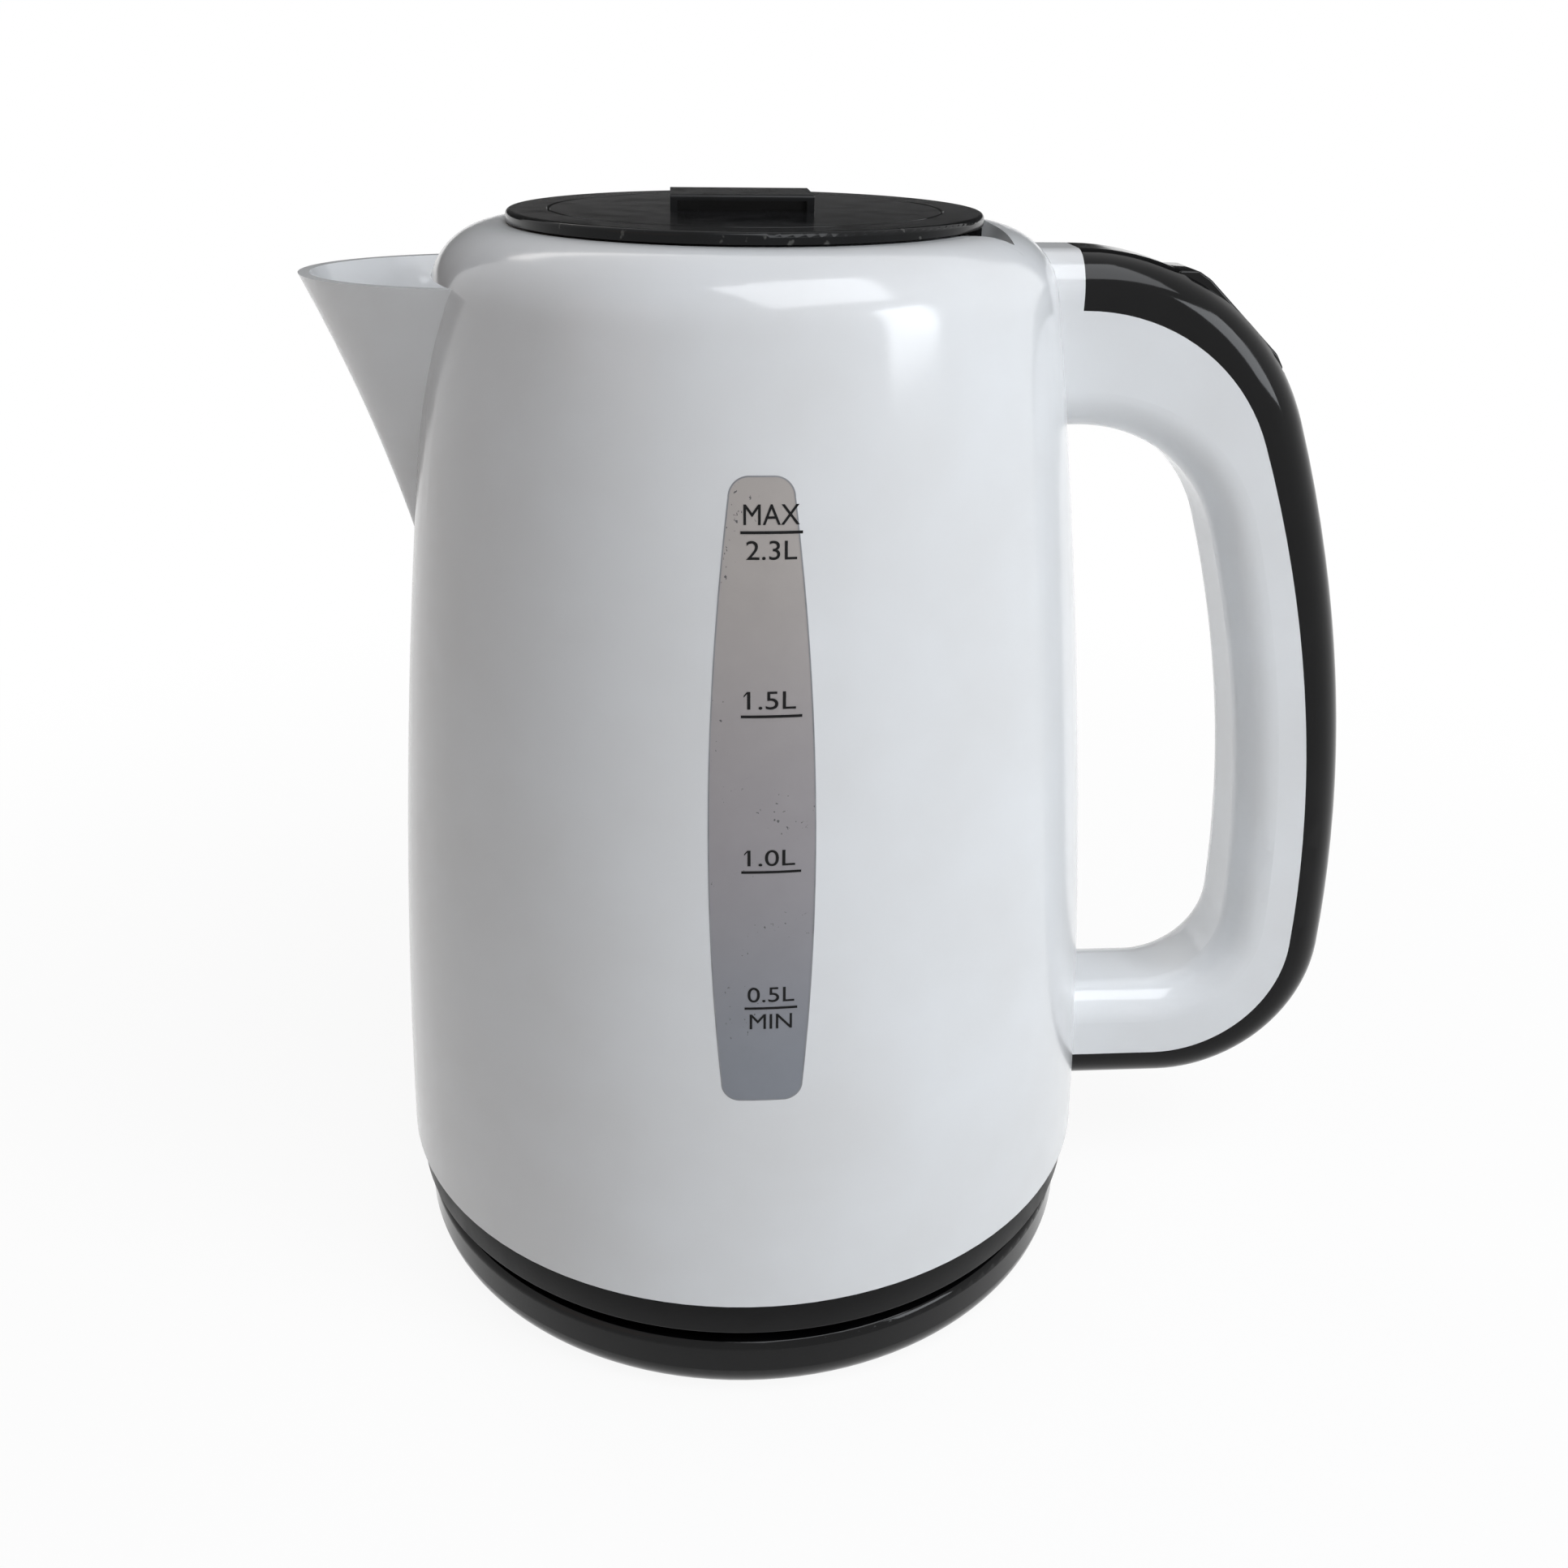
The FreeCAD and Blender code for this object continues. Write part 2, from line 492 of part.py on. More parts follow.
def make_shell(clamp_bosses, clamp_bolts, bottom_cover, cover_fixings):
    """White shell with spout, ledge, hinge well, screw bosses and the opening for the gauge window."""
    outside = jug_blank("jug_outside", "0")
    inside = jug_blank("jug_inside", "dims.wall")
    mouth = cylinder("mouth", "dims.mouth_radius", "2 * dims.shoulder_round", z="dims.shoulder_z")
    beak, channel = spout_blank("beak", "0"), spout_blank("channel", "dims.spout_wall")
    skin = cut("skin", joined("jug_and_beak", outside, beak), inside, channel, mouth)
    ledge = shared("ledge", outside, spun("ledge_ring", [
        (LEDGE_INNER, "dims.ledge_z"), ("dims.shell_bottom_radius", "dims.ledge_z"),
        ("dims.shell_bottom_radius", "dims.ledge_z + dims.ledge_thickness"),
        (LEDGE_INNER, "dims.ledge_z + dims.ledge_thickness")]))
    bosses = shared("cover_bosses", outside, joined("cover_posts", *posts(
        "cover_post", 3, 60, COVER_CIRCLE, "dims.cover_boss", "dims.band_low + dims.band_floor",
        "dims.cover_boss_top - dims.band_low - dims.band_floor")))
    liner = shared("well_liner", outside, box(
        "well_block", "dims.well_outer - dims.well_inner + 2 * dims.well_wall",
        "2 * (dims.well_half + dims.well_wall)",
        "dims.hinge_z", "dims.well_inner - dims.well_wall", "-dims.well_half - dims.well_wall",
        "dims.well_floor - dims.well_wall"))
    well = box("well", "dims.well_outer - dims.well_inner", "2 * dims.well_half", "dims.hinge_z",
               "dims.well_inner", "-dims.well_half", "dims.well_floor")
    pin = keep(cylinder("lid_pin", "dims.hinge_pin", "2 * (dims.well_half + dims.well_wall)",
                        "dims.hinge_x", "-dims.well_half - dims.well_wall", "dims.hinge_z", Y_AXIS),
               "lid_hinge_pin")

    def guide(name, side):
        return box(name, "dims.spout_centre", "dims.guide_depth + dims.spout_wall",
                   "dims.filter_high - dims.filter_low",
                   "-dims.filter_x - dims.spout_centre + dims.filter_thickness + dims.guide_depth",
                   f"{side} * dims.filter_half - (dims.guide_depth + dims.spout_wall) / 2",
                   "dims.filter_low")

    guides = shared("filter_guides", outside, joined("guide_blanks", guide("guide_front", -1),
                                                     guide("guide_back", 1)))
    filter_seat = make_filter()
    pane = make_gauge(outside, inside)
    steam_hole = cylinder("steam_way", "dims.steam_hole", "dims.handle_root", "dims.rim_radius",
                          z="dims.steam_z", along=X_AXIS)
    wire_holes = [cylinder(f"wire_way_{side}", "2 * dims.wire_radius", "dims.handle_root",
                           STAND_OUTER, f"{sign} * dims.wire_offset",
                           "(dims.inner_low + dims.outer_low) / 2", X_AXIS)
                  for side, sign in (("front", -1), ("back", 1))]
    whole = joined("shell_with_fittings", skin, ledge, bosses, liner, guides, *clamp_bosses)
    keep(cut("shell", whole, well, pin, filter_seat, pane, steam_hole, *wire_holes, bottom_cover,
             cover_fixings, clamp_bolts), "body_shell")
    return outside


def make_gauge(outside, inside):
    """Clear pane that fills its opening flush with both faces of the wall: flat ends, bowed sides."""
    top, bottom = "dims.window_top", "dims.window_bottom"
    top_half, bottom_half = "dims.window_top_half", "dims.window_bottom_half"
    top_side, bottom_side = f"{top} - dims.window_corner", f"{bottom} + dims.window_corner"
    top_flat, bottom_flat = f"({top_half} - dims.window_corner)", f"({bottom_half} - dims.window_corner)"
    side, corner = (1, "dims.window_side_round"), (1, "dims.window_corner")
    pane = padded("pane", [
        (top_half, top_side), (bottom_half, bottom_side), (bottom_flat, bottom), (f"-{bottom_flat}", bottom),
        (f"-{bottom_half}", bottom_side), (f"-{top_half}", top_side), (f"-{top_flat}", top), (top_flat, top)],
        {0: side, 1: corner, 3: corner, 4: side, 5: corner, 7: corner}, "dims.shell_bottom_radius",
        symmetric=False)
    keep(cut("gauge", shared("gauge_blank", outside, pane), inside), "gauge_window")
    return pane


def make_filter():
    """Frame of the spout filter, which clips between the guides, and its perforated sheet."""
    frame_block = box("frame_block", "dims.filter_thickness", "2 * dims.filter_half",
                      "dims.filter_high - dims.filter_low", "-dims.filter_x", "-dims.filter_half",
                      "dims.filter_low")
    frame_gap = box("frame_gap", "dims.filter_thickness", "2 * (dims.filter_half - dims.filter_border)",
                    "dims.filter_high - dims.filter_low - 2 * dims.filter_border", "-dims.filter_x",
                    "-dims.filter_half + dims.filter_border", "dims.filter_low + dims.filter_border")
    keep(cut("filter_frame", frame_block, frame_gap), "spout_filter")
    make_mesh()
    return frame_block


def make_mesh():
    """Perforated sheet across the filter's opening."""
    across, up = 9, 8
    width = "(2 * (dims.filter_half - dims.filter_border))"
    height = "(dims.filter_high - dims.filter_low - 2 * dims.filter_border)"
    low_y, low_z = "(-dims.filter_half + dims.filter_border)", "(dims.filter_low + dims.filter_border)"
    middle_x = "-dims.filter_x + (dims.filter_thickness - dims.mesh_thickness) / 2"
    sheet = box("mesh_sheet", "dims.mesh_thickness", width, height, middle_x, low_y, low_z)
    gap_width, gap_height = f"{width} / {across} - dims.mesh_bar", f"{height} / {up} - dims.mesh_bar"
    gaps = []
    for i in range(across):
        for j in range(up):
            gaps.append(box(f"mesh_gap_{i}_{j}", "dims.mesh_thickness", gap_width, gap_height, middle_x,
                            f"{low_y} + {width} / {across} * {i} + dims.mesh_bar / 2",
                            f"{low_z} + {height} / {up} * {j} + dims.mesh_bar / 2"))
    keep(cut("mesh", sheet, grouped("mesh_gaps", gaps)), "filter_mesh")


def handle_curve(name):
    """Corners of one line of the handle: level top, knee, back and level foot, tangent throughout."""
    reach, low, top = (f"dims.{name}_{part}" for part in ("reach", "low", "top"))
    low_round, back_round, top_round = (f"dims.{name}_{part}_round" for part in ("low", "back", "top"))
    foot_z = f"({low} + {low_round})"
    rise = f"(({top} - {top_round} - {foot_z}) / ({back_round} - {top_round}))"
    run = f"sqrt(1 - {rise} * {rise})"
    centre_x = f"({reach} - {back_round})"
    return [(f"{centre_x} + ({back_round} - {top_round}) * {run}", top),
            (f"{centre_x} + {back_round} * {run}", f"{foot_z} + {back_round} * {rise}"),
            (reach, foot_z), (f"{reach} - {low_round}", low), ("dims.handle_root", low)]


def make_handle(jug_outside):
    """White grip and black cover that close on each other round a hollow for the switch and wires."""
    def bulges(name, first):
        return {first + i: (1, f"dims.{name}_{p}_round") for i, p in enumerate(("top", "back", "low"))}

    def back(points):
        return points[::-1]

    def hollows(name, first):
        return {first + i: (-1, f"dims.{name}_{p}_round") for i, p in enumerate(("low", "back", "top"))}

    outer, parting, inner = (handle_curve(name) for name in ("outer", "parting", "inner"))
    cover = padded("cover_solid", [("dims.cover_start", "dims.outer_top")] + outer + back(parting)
                   + [("dims.cover_start", "dims.parting_top")],
                   {**bulges("outer", 1), **hollows("parting", 7)}, "dims.handle_width")
    rounded(cover, "dims.handle_round", [Vector(sized(x), sized(z), 0)
                                         for x, z in [("dims.cover_start", "dims.outer_top")] + outer])
    grip = padded("grip_solid", [
        ("dims.handle_root", "dims.outer_top"), ("dims.cover_start", "dims.outer_top"),
        ("dims.cover_start", "dims.parting_top")] + parting + back(inner)
        + [("dims.handle_root", "dims.inner_top")],
        {**bulges("parting", 3), **hollows("inner", 9)}, "dims.handle_width")
    rounded(grip, "dims.grip_round", [Vector(sized(x), sized(z), 0)
                                      for x, z in inner + [("dims.handle_root", "dims.inner_top")]])
    rounded(grip, "dims.handle_round", [Vector(sized(x), sized("dims.outer_top"), 0)
                                        for x in ("dims.handle_root", "dims.cover_start")])
    outline = doc.addObject("Sketcher::SketchObject", "handle_outline")
    outline.Placement = FreeCAD.Placement(Vector(), FreeCAD.Rotation(X_AXIS, 90))
    draw(outline, [("dims.handle_root", "dims.outer_top")] + outer + back(inner)
         + [("dims.handle_root", "dims.inner_top")], {**bulges("outer", 1), **hollows("inner", 7)})
    hollow_line = doc.addObject("Part::Offset2D", "hollow_line")
    hollow_line.Source = outline
    hollow_line.setExpression("Value", "-dims.handle_wall")
    hollow = doc.addObject("Part::Extrusion", "handle_hollow")
    hollow.Base = hollow_line
    hollow.DirMode = "Custom"
    hollow.Dir = Y_AXIS
    hollow.Solid = True
    hollow.Symmetric = True
    hollow.setExpression("LengthFwd", "2 * dims.cavity_half")
    boss = cylinder("handle_post", "dims.handle_boss",
                    "dims.inner_low - dims.outer_low - dims.handle_wall - dims.head_height",
                    "dims.handle_screw_x", z="dims.outer_low + dims.handle_wall")
    head = cylinder("handle_screw_head", "dims.head_radius", "dims.head_height", "dims.handle_screw_x",
                    z="dims.outer_low")
    shank = cylinder("handle_screw_shank", "dims.screw_radius", "dims.handle_screw_length",
                     "dims.handle_screw_x", z="dims.outer_low + dims.head_height")
    screw = keep(joined("handle_fixing", head, shank), "handle_screw")
    rocker_room = tipped(grouped("rocker_room", [box(
        "rocker_slot", "2 * (dims.rocker_end + dims.rocker_gap)", "dims.rocker_width + dims.free_gap * 2",
        "2 * dims.switch_floor", "-dims.rocker_end - dims.rocker_gap",
        "-dims.rocker_width / 2 - dims.free_gap", "0")]))
    keep(cut("cover_hollow", cover, hollow, jug_outside, screw, rocker_room), "handle_cover")
    grip_with_post = joined("grip_with_post", cut("grip_channel", grip, hollow), boss)
    keep(cut("grip_hollow", grip_with_post, jug_outside, screw), "handle_grip")


def make_switch():
    """Rocker on its pin, the housing that carries it, the steam sensor, contacts and wires."""
    rocker = padded("rocker_cap", [
        ("-dims.rocker_end", "dims.rocker_foot"), ("dims.rocker_end", "dims.rocker_foot"),
        ("dims.rocker_end", "dims.rocker_side"), ("dims.rocker_end - dims.rocker_foot", "dims.rocker_low"),
        ("-dims.rocker_end + 2 * dims.rocker_foot", "dims.rocker_high"),
        ("-dims.rocker_end + dims.rocker_foot", "dims.rocker_high - dims.bimetal_thickness"),
        ("-dims.rocker_end", "dims.rocker_side")], None, "dims.rocker_width")
    stem = box("rocker_stem", "2 * dims.stem_half", "dims.stem_width", "dims.rocker_side + dims.stem_drop",
               "-dims.stem_half", "-dims.stem_width / 2", "-dims.stem_drop")
    bore = cylinder("rocker_bore", "dims.switch_pin + dims.running_fit", "dims.handle_width",
                    y="-dims.handle_width / 2", along=Y_AXIS)
    keep(tipped(cut("rocker", joined("rocker_whole", rocker, stem), bore)), "switch_rocker")
    cheek_low = "dims.stem_width / 2 + dims.cheek_gap"
    pin_half = f"({cheek_low} + dims.cheek_thickness)"
    pin = cylinder("rocker_pin", "dims.switch_pin", f"2 * {pin_half}", y=f"-{pin_half}", along=Y_AXIS)
    keep(tipped(grouped("rocker_axle", [pin])), "switch_pin")
    floor = box("switch_tray", "2 * dims.switch_floor_half", "2 * dims.cavity_half",
                "dims.switch_floor_thickness", "-dims.switch_floor_half", "-dims.cavity_half",
                "-dims.switch_floor - dims.switch_floor_thickness")
    cheeks = [box(f"cheek_{side}", "2 * dims.stem_half", "dims.cheek_thickness",
                  "dims.switch_floor + dims.cheek_top", "-dims.stem_half", low, "-dims.switch_floor")
              for side, low in (("back", cheek_low), ("front", f"-{pin_half}"))]
    keep(tipped(cut("switch_frame", joined("switch_frame_blank", floor, *cheeks), pin)), "switch_housing")
    disc = cylinder("bimetal_disc", "dims.bimetal_radius", "dims.bimetal_thickness", "-dims.bimetal_offset",
                    z="-dims.switch_floor")
    keep(tipped(grouped("bimetal", [disc])), "steam_bimetal")
    tab_low = "-dims.switch_floor - dims.switch_floor_thickness - dims.tab_length"
    tabs = [box(f"tab_{side}", "dims.contact_thickness", "dims.tab_width", "dims.tab_length",
                "dims.stem_half", f"{sign} * dims.wire_offset - dims.tab_width / 2", tab_low)
            for side, sign in (("front", -1), ("back", 1))]
    keep(tipped(grouped("switch_tabs", tabs)), "switch_contacts")
    turn = math.radians(sized("dims.switch_tilt"))
    tab_x = sized("dims.stem_half + dims.contact_thickness / 2")
    tab_z = sized(f"{tab_low} - dims.wire_radius - dims.free_gap")
    start = (sized("dims.switch_x") + tab_x * math.cos(turn) + tab_z * math.sin(turn),
             sized("dims.switch_z") - tab_x * math.sin(turn) + tab_z * math.cos(turn))
    way_z = sized("(dims.inner_low + dims.outer_low) / 2")
    outer, inner = ([(sized(x), sized(z)) for x, z in handle_curve(name)] for name in ("outer", "inner"))
    knee, low = (((a[0] + b[0]) / 2, (a[1] + b[1]) / 2) for a, b in zip(outer[1:3], inner[1:3]))
    bend = (low[0] - sized("dims.handle_boss"), sized("dims.inner_low"))
    control, offset = sized(CONTROL), sized("dims.wire_offset")
    end_x = math.sqrt(control ** 2 - offset ** 2) + sized("dims.free_gap")
    route = [start, knee, low, bend, (outer[3][0], way_z), (end_x, way_z)]
    tubes = [tube([Vector(x, sign * offset, z) for x, z in route], sized("dims.wire_radius"))
             for sign in (-1, 1)]
    wires = doc.addObject("Part::Feature", "wires")
    wires.Shape = Part.Compound(tubes)
    wires.Placement = FreeCAD.Placement()
    keep(wires, "switch_wires")


def make_lid():
    """Black lid: disc with an undercut grip and hinge knuckle, and a plug that hangs in the mouth."""
    top_z = "dims.lid_low + dims.lid_thickness"
    disc = spun("lid_disc", [
        ("0", "dims.lid_low"), ("dims.lid_radius", "dims.lid_low"),
        ("dims.lid_radius", f"{top_z} - dims.lid_edge_round"),
        ("dims.lid_radius - dims.lid_edge_round", top_z), ("dims.groove_radius + dims.groove_width", top_z),
        ("dims.groove_radius + dims.groove_width / 2", f"{top_z} - dims.groove_depth"),
        ("dims.groove_radius", top_z), ("0", top_z)], {2: (-1, "dims.lid_edge_round")})
    grip_top = f"{top_z} + dims.grip_height"
    plate_low = f"{grip_top} - dims.grip_plate"
    edge_low = f"{grip_top} - dims.grip_edge_round"
    body, sketch = sketched("lid_grip", "YZ_Plane", [
        ("-dims.grip_web", "dims.lid_low"), ("dims.grip_web", "dims.lid_low"), ("dims.grip_web", plate_low),
        ("dims.grip_half_top", plate_low), ("dims.grip_half_top", edge_low),
        ("dims.grip_half_top - dims.grip_edge_round", grip_top),
        ("-dims.grip_half_top + dims.grip_edge_round", grip_top), ("-dims.grip_half_top", edge_low),
        ("-dims.grip_half_top", plate_low), ("-dims.grip_web", plate_low)],
        {4: (-1, "dims.grip_edge_round"), 6: (-1, "dims.grip_edge_round")})
    pad = body.newObject("PartDesign::Pad", "lid_grip_pad")
    pad.Profile = sketch
    pad.SideType = "Two sides"
    pad.setExpression("Length", "dims.grip_right")
    pad.setExpression("Length2", "dims.grip_left")
    doc.recompute()
    grip_ends = [box(f"grip_end_{side}", "dims.grip_end", "2 * dims.grip_half_top",
                     f"{edge_low} - dims.lid_low", low, "-dims.grip_half_top", "dims.lid_low")
                 for side, low in (("left", "-dims.grip_left"), ("right", "dims.grip_right - dims.grip_end"))]
    knuckle = cylinder("knuckle_barrel", "dims.knuckle_radius", "2 * dims.knuckle_half", "dims.hinge_x",
                       "-dims.knuckle_half", "dims.hinge_z", Y_AXIS)
    web = box("knuckle_web", "2 * dims.knuckle_radius", "2 * dims.knuckle_half",
              "dims.lid_low - dims.hinge_z", "dims.hinge_x - dims.knuckle_radius", "-dims.knuckle_half",
              "dims.hinge_z")
    bore = cylinder("knuckle_bore", "dims.hinge_pin + dims.running_fit", "4 * dims.knuckle_half",
                    "dims.hinge_x", "-2 * dims.knuckle_half", "dims.hinge_z", Y_AXIS)
    floor_top = "dims.plug_low + dims.plug_wall"
    bosses = posts("lid_boss", 3, 180, "dims.lid_screw_circle", "dims.boss_radius", floor_top,
                   f"dims.lid_low - ({floor_top})")
    fixings = keep(screws("lid_screw_set", 3, 180, "dims.lid_screw_circle", "dims.plug_low",
                          "dims.screw_bite"), "lid_screws")
    whole = joined("lid_whole", disc, body, *grip_ends, knuckle, web, *bosses)
    keep(cut("lid_bored", whole, bore, fixings), "lid_top")

    def plug_form(name, inset, low):
        drum = cylinder(name + "_drum", f"dims.plug_radius - {inset}", "dims.lid_low - dims.plug_low",
                        z=low)
        flat = box(name + "_flat", "dims.plug_radius", "2 * dims.plug_radius", "dims.lid_low",
                   f"dims.plug_chord - {inset}", "-dims.plug_radius", "0")
        return cut(name, drum, flat)

    keep(cut("lid_plug", plug_form("plug_outside", "0", "dims.plug_low"),
             plug_form("plug_inside", "dims.plug_wall", floor_top), fixings), "lid_inner")


make_base()
make_plug()
clamp_bosses, clamp_bolts = make_heater()
bottom_cover, cover_fixings = make_bottom_cover()
jug_outside = make_shell(clamp_bosses, clamp_bolts, bottom_cover, cover_fixings)
make_handle(jug_outside)
make_switch()
make_lid()
doc.recompute()

for obj in doc.Objects:
    if {"Invalid", "Error"} & set(obj.State):
        raise RuntimeError(f"{obj.Name} ({obj.Label}) failed: {obj.State}")
for obj in sub_parts:
    if obj.Shape.isNull() or not obj.Shape.isValid() or not obj.Shape.Solids:
        raise RuntimeError(f"{obj.Label} has no valid solid")

os.makedirs("parts", exist_ok=True)
for obj in sub_parts:
    obj.Shape.exportStep(f"parts/{obj.Label}.step")
    print(obj.Label, len(obj.Shape.Solids), round(obj.Shape.Volume / 1000, 2))
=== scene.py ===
"""Electric kettle on its power base: finishes, print and trim, and the studio round it.

Metres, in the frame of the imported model: +Z up, spout to -X, handle to +X, gauge window to -Y.
"""
import math

import bmesh
import bpy
from mathutils import Matrix, Vector


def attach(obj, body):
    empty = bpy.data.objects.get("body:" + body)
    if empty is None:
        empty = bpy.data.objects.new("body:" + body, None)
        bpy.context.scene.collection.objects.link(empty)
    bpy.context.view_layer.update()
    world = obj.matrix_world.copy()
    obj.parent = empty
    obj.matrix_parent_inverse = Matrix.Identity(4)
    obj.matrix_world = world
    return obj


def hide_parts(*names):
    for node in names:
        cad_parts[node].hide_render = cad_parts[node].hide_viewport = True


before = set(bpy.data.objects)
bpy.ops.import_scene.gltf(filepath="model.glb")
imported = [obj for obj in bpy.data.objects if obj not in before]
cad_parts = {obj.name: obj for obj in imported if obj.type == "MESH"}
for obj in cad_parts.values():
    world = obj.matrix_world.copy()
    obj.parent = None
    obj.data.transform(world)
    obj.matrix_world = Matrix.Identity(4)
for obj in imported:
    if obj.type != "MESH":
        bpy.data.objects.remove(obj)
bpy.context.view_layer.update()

# Power base: a low hollow dish of injection-moulded black ABS with a polished tool finish.
# It stands on the table, and its rim, socket collar and cord gland are one colour.
MM = 0.001
FACTOR, COLOUR_A, COLOUR_B, MIXED = 0, 6, 7, 2  # sockets of a Mix node that mixes colours


def linear(colour):
    """Linear colour of an sRGB hex value."""
    channels = [int(colour[i:i + 2], 16) / 255 for i in (1, 3, 5)]
    return [c / 12.92 if c <= 0.04045 else ((c + 0.055) / 1.055) ** 2.4 for c in channels] + [1.0]


def add(tree, kind, sockets, **properties):
    """Adds a node: its properties, and its inputs by name or number as values or as links."""
    node = tree.nodes.new("ShaderNode" + kind)
    for name, value in properties.items():
        setattr(node, name, value)
    for name, value in sockets.items():
        if isinstance(value, bpy.types.NodeSocket):
            tree.links.new(value, node.inputs[name])
        else:
            node.inputs[name].default_value = value
    return node


def blank(name):
    """New material without nodes, and its node tree."""
    made = bpy.data.materials.new(name)
    made.use_nodes = True
    made.node_tree.nodes.clear()
    return made, made.node_tree


def finish(name, tints, shine, patch_mm, grain_mm, depth_mm, sockets):
    """Moulded finish: two close tints and a range of roughness in broad patches, fine grain as bump."""
    made, tree = blank(name)
    place = add(tree, "TexCoord", {}).outputs["Object"]
    patches = add(tree, "TexNoise", {"Vector": place, "Scale": 1 / (patch_mm * MM), "Detail": 3.0,
                                     "Roughness": 0.55}).outputs["Fac"]
    grain = add(tree, "TexNoise", {"Vector": place, "Scale": 1 / (grain_mm * MM),
                                   "Detail": 2.0}).outputs["Fac"]
    spread = add(tree, "MapRange", {"Value": patches, "From Min": 0.35, "From Max": 0.65}).outputs["Result"]
    tint = add(tree, "Mix", {FACTOR: spread, COLOUR_A: linear(tints[0]), COLOUR_B: linear(tints[1])},
               data_type="RGBA").outputs[MIXED]
    rough = add(tree, "MapRange", {"Value": patches, "From Min": 0.3, "From Max": 0.7, "To Min": shine[0],
                                   "To Max": shine[1]}).outputs["Result"]
    bump = add(tree, "Bump", {"Height": grain, "Distance": depth_mm * MM, "Strength": 1.0}).outputs["Normal"]
    shader = add(tree, "BsdfPrincipled", {"Base Color": tint, "Roughness": rough, "Normal": bump, **sockets})
    add(tree, "OutputMaterial", {"Surface": shader.outputs["BSDF"]})
    return made


def dress(material, *nodes):
    """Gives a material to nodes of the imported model."""
    for node in nodes:
        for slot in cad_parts[node].material_slots:
            slot.material = material


# Polished ABS: deep black, sharp reflections, broken by faint handling marks about 12 mm across.
gloss_black = finish("polished_black_abs", tints=("#060607", "#0B0B0C"), shine=(0.05, 0.13),
                     patch_mm=12, grain_mm=2.5, depth_mm=0.004,
                     sockets={"IOR": 1.5, "Specular IOR Level": 0.2})
dress(gloss_black, "base_top", "cord_gland")

# Base plate, socket, plug and other inner mouldings: the same ABS from a spark-eroded tool.
# The plate is screwed into the base from below, and the socket post is held between the two.
# Matt to the eye, with a fine grain that is drawn coarser than the real one, so that it shows.
satin_black = finish("spark_eroded_black_abs", tints=("#0B0B0C", "#121213"), shine=(0.34, 0.46),
                     patch_mm=9, grain_mm=0.7, depth_mm=0.012,
                     sockets={"IOR": 1.5, "Specular IOR Level": 0.12})
dress(satin_black, "base_plate", "base_socket", "jug_plug", "shutter_ring", "control_unit", "switch_housing",
      "lid_inner")

# Foot ring: a moulded thermoplastic rubber ring under the base, pressed to the plate.
# It keeps the base from sliding, and looks matt and slightly dusty.
foot_rubber = finish("moulded_black_rubber", tints=("#1B1B1B", "#2A2928"), shine=(0.75, 0.9),
                     patch_mm=6, grain_mm=0.9, depth_mm=0.02, sockets={"IOR": 1.5})
dress(foot_rubber, "foot_ring")


# Screws, pins, plates and mesh: stainless steel, turned, pressed or rolled, with fine lines along one way.
# Contacts are stamped brass, the heat spreader and element cast and drawn aluminium.
# The lines catch the light along one way, and are drawn coarser than the real ones, so that they show.
def rolled_metal(name, tints, shine, lines_mm, along_mm):
    """Bare metal with drawn lines: noise stretched along X by along_mm, lines_mm apart across it."""
    made, tree = blank(name)
    place = add(tree, "TexCoord", {}).outputs["Object"]
    across = 1 / (lines_mm * MM)
    drawn = add(tree, "Mapping", {"Vector": place,
                                  "Scale": (1 / (along_mm * MM), across, across)}).outputs["Vector"]
    lines = add(tree, "TexNoise", {"Vector": drawn, "Scale": 1.0, "Detail": 3.0}).outputs["Fac"]
    tint = add(tree, "Mix", {FACTOR: lines, COLOUR_A: linear(tints[0]), COLOUR_B: linear(tints[1])},
               data_type="RGBA").outputs[MIXED]
    rough = add(tree, "MapRange", {"Value": lines, "From Min": 0.3, "From Max": 0.7, "To Min": shine[0],
                                   "To Max": shine[1]}).outputs["Result"]
    bump = add(tree, "Bump", {"Height": lines, "Distance": 0.004 * MM, "Strength": 1.0}).outputs["Normal"]
    shader = add(tree, "BsdfPrincipled", {"Base Color": tint, "Roughness": rough, "Normal": bump,
                                          "Metallic": 1.0})
    add(tree, "OutputMaterial", {"Surface": shader.outputs["BSDF"]})
    return made


steel = rolled_metal("brushed_stainless_steel", tints=("#B9BABB", "#D2D3D4"), shine=(0.22, 0.38),
                     lines_mm=0.35, along_mm=14)
dress(steel, "heating_plate", "filter_mesh", "clamp_ring", "clamp_screws", "control_screws", "cover_screws",
      "base_screws", "lid_screws", "handle_screw", "lid_hinge_pin", "switch_pin", "steam_bimetal")
aluminium = rolled_metal("cast_aluminium", tints=("#A9ABAD", "#C4C6C8"), shine=(0.38, 0.55),
                         lines_mm=1.2, along_mm=2.0)
dress(aluminium, "heat_spreader", "heating_element")
brass = rolled_metal("stamped_brass", tints=("#B8924A", "#D0AC63"), shine=(0.24, 0.4),
                     lines_mm=0.4, along_mm=6)
dress(brass, "socket_contacts", "plug_ring", "plug_pin", "switch_contacts")

# Seal round the steel floor: a moulded ring of pale silicone, clamped under the shell's ledge.
# Soft, with a dull shine from its moulded skin.
silicone = finish("moulded_silicone", tints=("#C9C7C1", "#D5D3CD"), shine=(0.45, 0.6),
                  patch_mm=8, grain_mm=1.0, depth_mm=0.01, sockets={"IOR": 1.41})
dress(silicone, "plate_seal")

